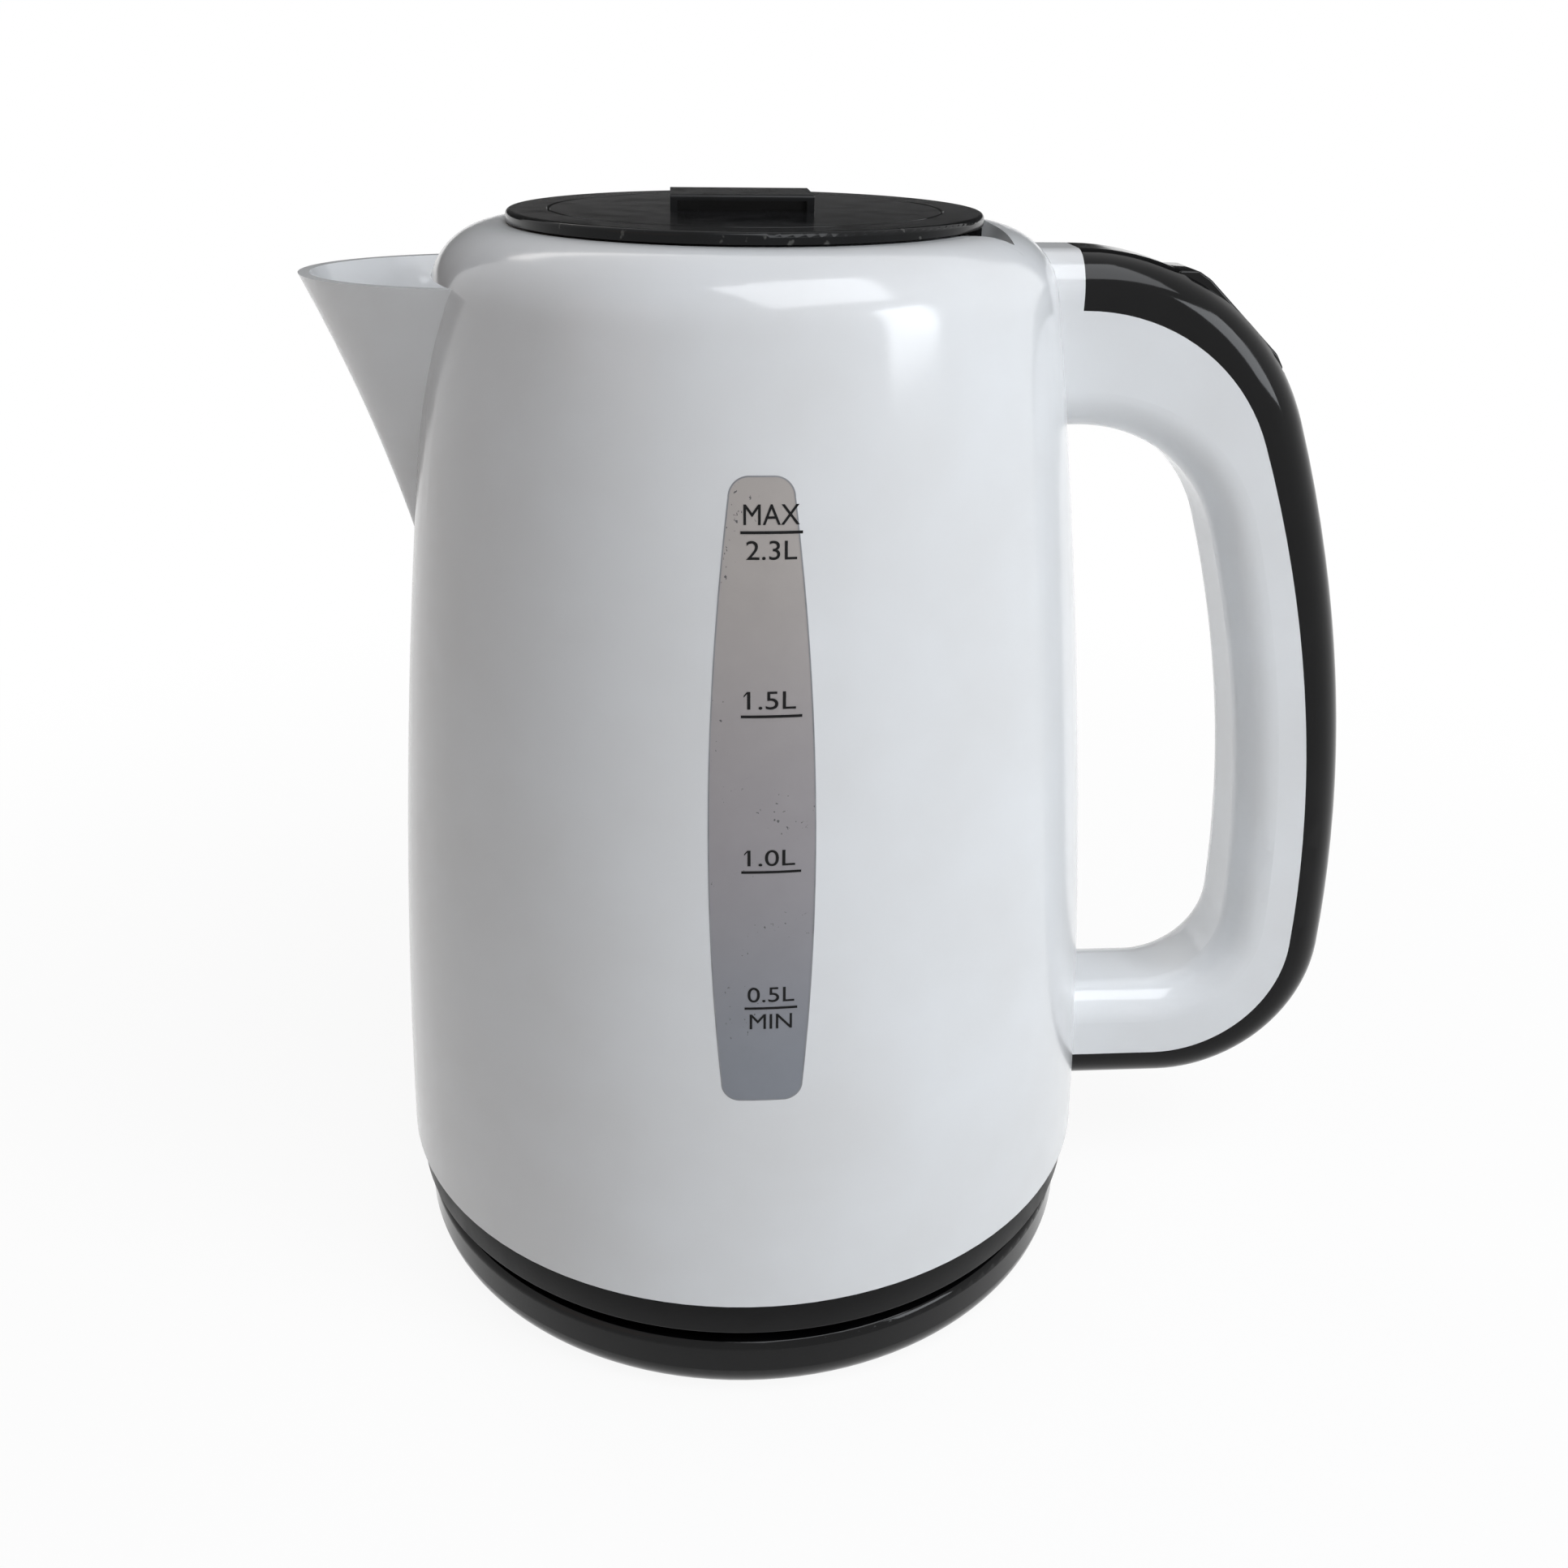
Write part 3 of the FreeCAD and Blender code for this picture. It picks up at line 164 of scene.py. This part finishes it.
# Switch wires: copper in a braided glass sleeve, run down the hollow handle from the switch.
# The braid is matt and off-white, with its strands as bump.
sleeve = finish("braided_glass_sleeve", tints=("#C9C8C2", "#E0DFD9"), shine=(0.6, 0.8),
                patch_mm=1.5, grain_mm=0.6, depth_mm=0.05, sockets={"IOR": 1.5})
dress(sleeve, "switch_wires")

# Jug shell and handle grip: thick white polypropylene from a polished tool, slightly cool white.
# The shell is one moulding with its spout, and the grip is joined to it.
# The surface has a faint orange peel, and a little light goes into it.
white = finish("polished_white_polypropylene", tints=("#E2E4E6", "#DDDEDF"), shine=(0.10, 0.17),
               patch_mm=45, grain_mm=9.0, depth_mm=0.006,
               sockets={"IOR": 1.49, "Subsurface Weight": 0.12, "Subsurface Radius": (0.004, 0.004, 0.004)})
dress(white, "body_shell", "handle_grip")

# Spout filter: a plain grey polypropylene frame that clips behind the spout and holds the steel mesh.
# Straight from an unpolished tool, so it has a soft, even sheen.
filter_grey = finish("moulded_grey_polypropylene", tints=("#B4B5B6", "#BEBFC0"), shine=(0.4, 0.5),
                     patch_mm=10, grain_mm=0.8, depth_mm=0.01, sockets={"IOR": 1.49})
dress(filter_grey, "spout_filter")

# Gauge window: a frosted grey copolyester pane welded into the shell, flush with it.
# Its colour is painted shade of the dark inside and the water behind it: warm grey at the top, cooler and
# darker towards the water, with a few flecks of worn ink about it. The frost is drawn coarser than the real
# one, so that it shows.
WINDOW_TOP, WINDOW_BOTTOM = 0.2016, 0.0803
CLOUD, SPECK, FLOCK, FROST = 6 * MM, 0.8 * MM, 11 * MM, 0.5 * MM
FROST_DEPTH = 0.008 * MM
pane, tree = blank("frosted_grey_copolyester")
place = add(tree, "TexCoord", {}).outputs["Object"]
height = add(tree, "SeparateXYZ", {"Vector": place}).outputs["Z"]
# Painted shade: the pane goes from warm grey at the top to a cooler, darker grey low down, for the dark
# inside and water behind it.
fall = add(tree, "MapRange", {"Value": height, "From Min": WINDOW_BOTTOM,
                              "From Max": WINDOW_TOP}).outputs["Result"]
low_half = add(tree, "MapRange", {"Value": fall, "From Max": 0.5},
               interpolation_type="SMOOTHSTEP").outputs["Result"]
high_half = add(tree, "MapRange", {"Value": fall, "From Min": 0.4},
                interpolation_type="SMOOTHSTEP").outputs["Result"]
painted_shade_lower_half = add(tree, "Mix", {FACTOR: low_half, COLOUR_A: linear("#7D8189"), COLOUR_B: linear("#938F92")},
            data_type="RGBA").outputs[MIXED]
painted_shade_tint = add(tree, "Mix", {FACTOR: high_half, COLOUR_A: painted_shade_lower_half, COLOUR_B: linear("#A8A29E")},
            data_type="RGBA").outputs[MIXED]
cloud = add(tree, "TexNoise", {"Vector": place, "Scale": 1 / CLOUD, "Detail": 4.0}).outputs["Fac"]
shade = add(tree, "MapRange", {"Value": cloud, "To Min": 0.94, "To Max": 1.06}).outputs["Result"]
clouded = add(tree, "Mix", {FACTOR: 1.0, COLOUR_A: painted_shade_tint, COLOUR_B: shade},
              data_type="RGBA", blend_type="MULTIPLY").outputs[MIXED]
speck = add(tree, "TexNoise", {"Vector": place, "Scale": 1 / SPECK, "Detail": 2.0}).outputs["Fac"]
flock = add(tree, "TexNoise", {"Vector": place, "Scale": 1 / FLOCK, "Detail": 1.0}).outputs["Fac"]
speck = add(tree, "MapRange", {"Value": speck, "From Min": 0.68, "From Max": 0.71}).outputs["Result"]
flock = add(tree, "MapRange", {"Value": flock, "From Min": 0.55, "From Max": 0.62}).outputs["Result"]
specks = add(tree, "Math", {0: speck, 1: flock}, operation="MULTIPLY").outputs[0]
tint = add(tree, "Mix", {FACTOR: specks, COLOUR_A: clouded, COLOUR_B: linear("#4A4A4C")},
           data_type="RGBA").outputs[MIXED]
frost = add(tree, "TexNoise", {"Vector": place, "Scale": 1 / FROST, "Detail": 2.0}).outputs["Fac"]
bump = add(tree, "Bump", {"Height": frost, "Distance": FROST_DEPTH, "Strength": 1.0}).outputs["Normal"]
shader = add(tree, "BsdfPrincipled", {"Base Color": tint, "Roughness": 0.32, "Normal": bump, "IOR": 1.57})
add(tree, "OutputMaterial", {"Surface": shader.outputs["BSDF"]})
dress(pane, "gauge_window")


# Weld line round the window: a strip of painted shadow for the hair-thin dark groove where the pane and the
# shell meet.
# It follows the pane's outline, two long arcs for sides, four round corners and two flat ends,
# and is laid on the shell.
SHELL_LOW, SHELL_HIGH = Vector((0.0833, 0.029)), Vector((0.06326, 0.2245))  # radius and height
SIDE_ROUND = 1.650
WELD_WIDTH, WELD_PROUD = 0.26 * MM, 0.03 * MM
WELD_STEPS, WELD_CUTS = 48, 11


def shell_radius(z):
    """Outside radius of the jug's side at a height: an arc through its two ends."""
    chord = SHELL_HIGH - SHELL_LOW
    outward = Vector((chord.y, -chord.x)).normalized()
    centre = (SHELL_LOW + SHELL_HIGH) / 2 - outward * math.sqrt(SIDE_ROUND ** 2 - (chord.length / 2) ** 2)
    return centre.x + math.sqrt(SIDE_ROUND ** 2 - (z - centre.y) ** 2)


def lay_on_shell(bm, proud):
    """Moves flat work, drawn in X and Z, back onto the front of the jug."""
    for vert in bm.verts:
        radius = shell_radius(vert.co.z) + proud
        vert.co.y = -math.sqrt(radius ** 2 - vert.co.x ** 2)


def placed(name, bm, material):
    """Finished object at the origin from a bmesh."""
    mesh = bpy.data.meshes.new(name)
    bm.to_mesh(mesh)
    bm.free()
    made = bpy.data.objects.new(name, mesh)
    bpy.context.scene.collection.objects.link(made)
    mesh.materials.append(material)
    return made


def piece(name, bm, material, body):
    """Finished object that rides on a body of the frame."""
    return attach(placed(name, bm, material), body)


# Painted shadow in moulded plastic colour: no light reaches into the groove, so it reads as a thin grey line.
groove_shadow_paint = finish("painted_weld_groove_shadow", tints=("#7F8084", "#929396"), shine=(0.4, 0.5),
                   patch_mm=5, grain_mm=0.8, depth_mm=0.004, sockets={"IOR": 1.5})
# Where each stretch starts, across and up in mm, and its radius, or None where it is straight.
WINDOW_OUTLINE = [((5.9, 197.9), 534), ((8.0, 84.0), 3.7), ((4.3, 80.3), None), ((-4.3, 80.3), 3.7),
                  ((-8.0, 84.0), 534), ((-5.9, 197.9), 3.7), ((-2.2, 201.6), None), ((2.2, 201.6), 3.7)]
bm = bmesh.new()
for (start, radius), (end, _) in zip(WINDOW_OUTLINE, WINDOW_OUTLINE[1:] + WINDOW_OUTLINE[:1]):
    start, end = Vector((start[0], 0, start[1])) * MM, Vector((end[0], 0, end[1])) * MM
    chord = end - start
    outward = Vector((-chord.z, 0, chord.x)).normalized()
    if radius is None:
        side = bm.edges.new((bm.verts.new(start), bm.verts.new(start - outward * WELD_WIDTH)))
        grown = bmesh.ops.extrude_edge_only(bm, edges=[side])["geom"]
        moved = [v for v in grown if isinstance(v, bmesh.types.BMVert)]
        bmesh.ops.translate(bm, vec=chord, verts=moved)
        long_edges = [e for v in moved for e in v.link_edges if e.calc_length() > 2 * WELD_WIDTH]
        bmesh.ops.subdivide_edges(bm, edges=long_edges, cuts=WELD_CUTS, use_grid_fill=True)
        continue
    radius *= MM
    centre = (start + end) / 2 - outward * math.sqrt(radius ** 2 - (chord.length / 2) ** 2)
    inner = centre + (start - centre).normalized() * (radius - WELD_WIDTH)
    edge = bm.edges.new((bm.verts.new(start), bm.verts.new(inner)))
    turn = 2 * math.asin(chord.length / 2 / radius)
    bmesh.ops.spin(bm, geom=[edge, *edge.verts], cent=centre, axis=(0, 1, 0), angle=turn, steps=WELD_STEPS)
lay_on_shell(bm, WELD_PROUD)
bmesh.ops.recalc_face_normals(bm, faces=bm.faces)
for face in bm.faces:
    if face.normal.y > 0:
        face.normal_flip()
weld = piece("window_weld_shadow_strip", bm, groove_shadow_paint, "jug")

# Gauge print: pad-printed black ink on the pane, matt, and rubbed thin in places by wiping.
# Each word stands over its line, apart from the two that share the top and bottom lines.
# A short flag is added to the head of each 1.
ink = finish("pad_printed_black_ink", tints=("#050506", "#151516"), shine=(0.5, 0.65),
             patch_mm=1.2, grain_mm=0.5, depth_mm=0.003, sockets={"IOR": 1.45, "Specular IOR Level": 0.2})
PRINT_X, PRINT_PROUD = 1.7 * MM, 0.05 * MM
LINE_HIGH, LINE_PARTS = 0.5 * MM, 24
FLAG_WIDTH = 0.62 * MM
FLAG_SHAPE = [(0, 0), (-1, -1.2), (-1, -1.7), (0, -0.6)]  # from the top of the stem, in flag widths
# Name, word, and foot, width and height in mm.
WORDS = [("max", "MAX", 193.3, 9.8, 3.5), ("2_3", "2.3L", 187.3, 8.9, 3.3), ("1_5", "1.5L", 160.6, 8.8, 3.3),
         ("1_0", "1.0L", 130.5, 8.9, 3.2), ("0_5", "0.5L", 102.2, 9.0, 3.2), ("min", "MIN", 96.4, 8.2, 3.2)]
# Name, and middle height and width in mm.
LINES = [("top", 192.0, 10.9), ("1_5", 159.3, 11.1), ("1_0", 129.3, 11.2), ("low", 100.9, 10.2)]
for name, word, low, width, high in WORDS:
    curve = bpy.data.curves.new("word_" + name, "FONT")
    curve.body = word
    curve.resolution_u = 6
    text = bpy.data.objects.new("word_" + name, curve)
    bpy.context.scene.collection.objects.link(text)
    bpy.context.view_layer.update()
    flat = bpy.data.meshes.new_from_object(text.evaluated_get(bpy.context.evaluated_depsgraph_get()))
    bpy.data.objects.remove(text)
    bm = bmesh.new()
    bm.from_mesh(flat)
    bpy.data.meshes.remove(flat)
    xs, ys = [v.co.x for v in bm.verts], [v.co.y for v in bm.verts]
    left, foot = min(xs), min(ys)
    wide, tall = max(xs) - left, max(ys) - foot
    for vert in bm.verts:
        across, up = (vert.co.x - left) / wide, (vert.co.y - foot) / tall
        vert.co = Vector((PRINT_X + (across - 0.5) * width * MM, 0, (low + up * high) * MM))
    if word.startswith("1"):
        stem, top = PRINT_X - width / 2 * MM, (low + high) * MM
        bm.faces.new([bm.verts.new((stem + x * FLAG_WIDTH, 0, top + z * FLAG_WIDTH)) for x, z in FLAG_SHAPE])
    lay_on_shell(bm, PRINT_PROUD)
    piece("print_word_" + name, bm, ink, "jug")
for name, middle, width in LINES:
    bm = bmesh.new()
    bmesh.ops.create_grid(bm, x_segments=LINE_PARTS, y_segments=1, size=0.5)
    for vert in bm.verts:
        vert.co = Vector((PRINT_X + vert.co.x * width * MM, 0, middle * MM + vert.co.y * LINE_HIGH))
    lay_on_shell(bm, PRINT_PROUD)
    piece("print_line_" + name, bm, ink, "jug")

# Bottom cover: the black band under the shell, one moulding with the floor and the rib that it stands on.
# Satin side from the tool, with its edges broken; it is screwed up into the shell.
# Radii and heights in mm.
FLOOR_HOLE, FLOOR_LOW, FLOOR_TOP = 24, 20.1, 22.3
RIB_INNER, RIB_OUTER, RIB_LOW = 66, 70, 13
BAND, BAND_TOP = 82, 29
SPIGOT_INNER, SPIGOT_OUTER, SPIGOT_TOP = 78.4, 80.6, 32
BAND_EDGE = 0.6
BAND_STEPS, EDGE_STEPS = 192, 4


def spun(points):
    """Mesh turned about Z from a closed half section of (radius, height) points in mm."""
    bm = bmesh.new()
    verts = [bm.verts.new((r * MM, 0, z * MM)) for r, z in points]
    edges = [bm.edges.new(pair) for pair in zip(verts, verts[1:] + verts[:1])]
    bmesh.ops.spin(bm, geom=verts + edges, cent=(0, 0, 0), axis=(0, 0, 1), angle=math.tau, steps=BAND_STEPS,
                   use_merge=True)
    bmesh.ops.remove_doubles(bm, verts=bm.verts, dist=0.001 * MM)
    bmesh.ops.recalc_face_normals(bm, faces=bm.faces)
    return bm


def break_rings(bm, corners, offset):
    """Rounds the ring edges that stand at the given (radius, height) corners in mm."""
    near = 0.01 * MM

    def at_corner(vert):
        radius = math.hypot(vert.co.x, vert.co.y)
        return any(abs(radius - r * MM) < near and abs(vert.co.z - z * MM) < near for r, z in corners)

    def is_level(edge):
        return abs(edge.verts[0].co.z - edge.verts[1].co.z) < near

    rings = [e for e in bm.edges if all(at_corner(v) for v in e.verts) and is_level(e)]
    bmesh.ops.bevel(bm, geom=rings, offset=offset * MM, segments=EDGE_STEPS, profile=0.5, affect="EDGES",
                    material=-1)


def shade_smooth(bm, angle):
    """Smooth faces, with edges sharper than the angle kept crisp."""
    for face in bm.faces:
        face.smooth = True
    for edge in bm.edges:
        edge.smooth = len(edge.link_faces) == 2 and edge.calc_face_angle(0.0) < math.radians(angle)


bm = spun([(FLOOR_HOLE, FLOOR_LOW), (RIB_INNER, FLOOR_LOW), (RIB_INNER, RIB_LOW), (RIB_OUTER, RIB_LOW),
           (RIB_OUTER, FLOOR_LOW), (BAND, FLOOR_LOW), (BAND, BAND_TOP), (SPIGOT_OUTER, BAND_TOP),
           (SPIGOT_OUTER, SPIGOT_TOP), (SPIGOT_INNER, SPIGOT_TOP), (SPIGOT_INNER, FLOOR_TOP),
           (FLOOR_HOLE, FLOOR_TOP)])
break_rings(bm, [(BAND, FLOOR_LOW), (BAND, BAND_TOP), (RIB_INNER, RIB_LOW), (RIB_OUTER, RIB_LOW)], BAND_EDGE)
shade_smooth(bm, 40)
band = piece("bottom_band", bm, satin_black, "jug")
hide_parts("bottom_cover")

# Handle cover: the black outer half of the handle, moulded in the same polished ABS as the base.
# It is clipped and screwed onto the white grip.
dress(gloss_black, "handle_cover")

# Switch rocker: a polished ABS key on a pin in the head of the handle, with all its edges broken.
# Drawn about its pin as a side view in mm, then tipped with the handle's slope.
ROCKER_SIDE = [(-15.6, 3.2), (15.6, 3.2), (15.6, 4.2), (12.4, 5.4), (-9.2, 7.0), (-12.4, 6.6), (-15.6, 4.2)]
ROCKER_WIDTH, ROCKER_EDGE = 15 * MM, 0.55 * MM
ROCKER_PIN, ROCKER_TILT = (97.5 * MM, 0, 215.3 * MM), math.radians(38.5)
bm = bmesh.new()
outline = bm.faces.new([bm.verts.new((x * MM, -ROCKER_WIDTH / 2, z * MM)) for x, z in ROCKER_SIDE])
grown = bmesh.ops.extrude_face_region(bm, geom=[outline])["geom"]
moved = [v for v in grown if isinstance(v, bmesh.types.BMVert)]
bmesh.ops.translate(bm, vec=(0, ROCKER_WIDTH, 0), verts=moved)
bmesh.ops.recalc_face_normals(bm, faces=bm.faces)
bmesh.ops.bevel(bm, geom=bm.edges[:], offset=ROCKER_EDGE, segments=EDGE_STEPS, profile=0.5, affect="EDGES",
                material=-1)
tipped = Matrix.Translation(ROCKER_PIN) @ Matrix.Rotation(ROCKER_TILT, 4, "Y")
bmesh.ops.transform(bm, matrix=tipped, verts=bm.verts)
shade_smooth(bm, 35)
rocker = piece("rocker_key", bm, gloss_black, "rocker")
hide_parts("switch_rocker")

# Lid: a polished ABS disc with a grip bar and hinge knuckle, hung on a steel pin at the handle's side.
# It is handled daily, so more marks show on it, and its edge has pale nicks.
lid_black = finish("handled_black_abs", tints=("#08090A", "#101113"), shine=(0.10, 0.20),
                   patch_mm=7, grain_mm=1.6, depth_mm=0.004,
                   sockets={"IOR": 1.5, "Specular IOR Level": 0.16})
LID_EDGE, WORN_EDGE, NICK = 47.5 * MM, 0.9 * MM, 2.2 * MM
tree = lid_black.node_tree
shader = next(node for node in tree.nodes if node.type == "BSDF_PRINCIPLED")
place = add(tree, "TexCoord", {}).outputs["Object"]
level = add(tree, "Mapping", {"Vector": place, "Scale": (1, 1, 0)}).outputs["Vector"]
reach = add(tree, "VectorMath", {0: level}, operation="LENGTH").outputs["Value"]
rim = add(tree, "MapRange", {"Value": reach, "From Min": LID_EDGE - WORN_EDGE,
                             "From Max": LID_EDGE}).outputs["Result"]
nick = add(tree, "TexNoise", {"Vector": place, "Scale": 1 / NICK, "Detail": 2.0}).outputs["Fac"]
nick = add(tree, "MapRange", {"Value": nick, "From Min": 0.66, "From Max": 0.72}).outputs["Result"]
worn = add(tree, "Math", {0: rim, 1: nick}, operation="MULTIPLY").outputs[0]
plain = shader.inputs["Base Color"].links[0].from_socket
nicked = add(tree, "Mix", {FACTOR: worn, COLOUR_A: plain, COLOUR_B: linear("#4C4C4A")},
             data_type="RGBA").outputs[MIXED]
tree.links.new(nicked, shader.inputs["Base Color"])
dress(lid_black, "lid_top")

# Studio floor: a pale paper sweep with a low turned-up edge, matt, with a faint fibre.
# It keeps the kettle's shadow, and goes to plain white away from it.
FLOOR_REACH, FLOOR_LIP, FLOOR_EDGE, FLOOR_STEPS = 3.0, 0.3, 0.40, 96
SHADOW_NEAR, SHADOW_FAR, LEAST_WHITE = 0.14, 0.5, 0.92
FIBRE = 3 * MM


def shows(tree):
    """1 for rays that show a surface to the eye, straight or by way of polished or clear ones, else 0."""
    ray = add(tree, "LightPath", {})
    seen = add(tree, "Math", {0: ray.outputs["Is Camera Ray"], 1: ray.outputs["Is Glossy Ray"]},
               operation="MAXIMUM").outputs[0]
    return add(tree, "Math", {0: seen, 1: ray.outputs["Is Transmission Ray"]}, operation="MAXIMUM").outputs[0]


paper, tree = blank("pale_paper")
place = add(tree, "TexCoord", {}).outputs["Object"]
reach = add(tree, "VectorMath", {0: place}, operation="LENGTH").outputs["Value"]
away = add(tree, "MapRange", {"Value": reach, "From Min": SHADOW_NEAR, "From Max": SHADOW_FAR,
                              "To Min": LEAST_WHITE}, interpolation_type="SMOOTHSTEP").outputs["Result"]
share = add(tree, "Math", {0: away, 1: shows(tree)}, operation="MULTIPLY").outputs[0]
fibres = add(tree, "TexNoise", {"Vector": place, "Scale": 1 / FIBRE, "Detail": 3.0}).outputs["Fac"]
tint = add(tree, "Mix", {FACTOR: fibres, COLOUR_A: linear("#F4F4F3"), COLOUR_B: linear("#F7F7F6")},
           data_type="RGBA").outputs[MIXED]
matt = add(tree, "BsdfDiffuse", {"Color": tint}).outputs["BSDF"]
glow = add(tree, "Emission", {"Color": (1, 1, 1, 1), "Strength": 1.0}).outputs["Emission"]
both = add(tree, "MixShader", {0: share, 1: matt, 2: glow}).outputs["Shader"]
add(tree, "OutputMaterial", {"Surface": both})
bm = bmesh.new()
sweep = [(0, 0, 0), (FLOOR_REACH, 0, 0), (FLOOR_REACH + FLOOR_LIP, 0, FLOOR_EDGE)]
verts = [bm.verts.new(point) for point in sweep]
edges = [bm.edges.new(pair) for pair in zip(verts, verts[1:])]
bmesh.ops.spin(bm, geom=verts + edges, cent=(0, 0, 0), axis=(0, 0, 1), angle=math.tau, steps=FLOOR_STEPS,
               use_merge=True)
bmesh.ops.remove_doubles(bm, verts=bm.verts, dist=0.01 * MM)
bmesh.ops.recalc_face_normals(bm, faces=bm.faces)
for face in bm.faces:
    if face.normal.z < 0:
        face.normal_flip()
floor = placed("studio_floor", bm, paper)

# Black card behind the kettle, a matt board out of the picture, hung clear of the floor.
# Polished black shows it, and so stays black.
CARD_LEFT, CARD_RIGHT, CARD_LOW, CARD_HIGH, CARD_BACK = -1.0, 0.9, 0.27, 1.1, 0.9
bm = bmesh.new()
bmesh.ops.create_grid(bm, x_segments=4, y_segments=4, size=0.5)
for vert in bm.verts:
    vert.co = Vector((CARD_LEFT + (vert.co.x + 0.5) * (CARD_RIGHT - CARD_LEFT), CARD_BACK,
                      CARD_LOW + (vert.co.y + 0.5) * (CARD_HIGH - CARD_LOW)))
card = placed("black_card", bm, foot_rubber)
card.visible_camera = False
card.visible_diffuse = False
card.visible_shadow = False

# Studio light: a window to the right, wide soft lights overhead and behind, a faint warm one to the left.
# The room is pale to the eye and in polished surfaces, and gives the object little light of its own.
ROOM_LIGHT = 0.05
world = bpy.data.worlds.new("pale_room")
bpy.context.scene.world = world
world.use_nodes = True
tree = world.node_tree
tree.nodes.clear()
level = add(tree, "MapRange", {"Value": shows(tree), "To Min": ROOM_LIGHT, "To Max": 1.0}).outputs["Result"]
room = add(tree, "Background", {"Color": (1.0, 1.0, 1.0, 1.0), "Strength": level}).outputs["Background"]
add(tree, "OutputWorld", {"Surface": room})
AIM = Vector((0, 0, 0.13))
# Name, place and size in metres, watts, colour.
LAMPS = [("window_light", (1.0, -0.66, 0.62), (0.45, 0.6), 6.4, "#F6FAFF"),
         ("left_light", (-1.1, -0.9, 0.8), (1.0, 1.0), 0.5, "#FFB07C"),
         ("top_light", (0.4, -0.6, 1.5), (1.1, 0.9), 15.0, "#F8FBFF"),
         ("back_light", (-0.5, 1.3, 0.95), (1.0, 1.0), 7.0, "#FFFAF4")]
for name, spot, size, power, colour in LAMPS:
    lamp = bpy.data.lights.new(name, "AREA")
    lamp.shape = "RECTANGLE"
    lamp.size, lamp.size_y = size
    lamp.energy = power
    lamp.color = linear(colour)[:3]
    light = bpy.data.objects.new(name, lamp)
    bpy.context.scene.collection.objects.link(light)
    light.location = spot
    light.rotation_euler = (AIM - Vector(spot)).to_track_quat("-Z", "Y").to_euler()

# Camera: close in front and a little above, turned slightly to the handle's side, as a phone is held.
# Lens and sensor in mm; the turn, dip and roll follow from the jug's round edges.
SENSOR, LENS = 36.0, 34.66
CAMERA_PLACE = (-0.01367, -0.32207, 0.26545)
TURN, DIP, ROLL = math.radians(-4.07), math.radians(90 - 25.56), 0.0132
camera_data = bpy.data.cameras.new("camera")
camera_data.sensor_width = SENSOR
camera_data.lens = LENS
camera = bpy.data.objects.new("camera", camera_data)
bpy.context.scene.collection.objects.link(camera)
turned = Matrix.Rotation(TURN, 4, "Z") @ Matrix.Rotation(DIP, 4, "X")
camera.matrix_world = Matrix.Translation(CAMERA_PLACE) @ turned @ Matrix.Rotation(ROLL, 4, "Z")
bpy.context.scene.camera = camera
bpy.context.scene.view_settings.view_transform = "Standard"
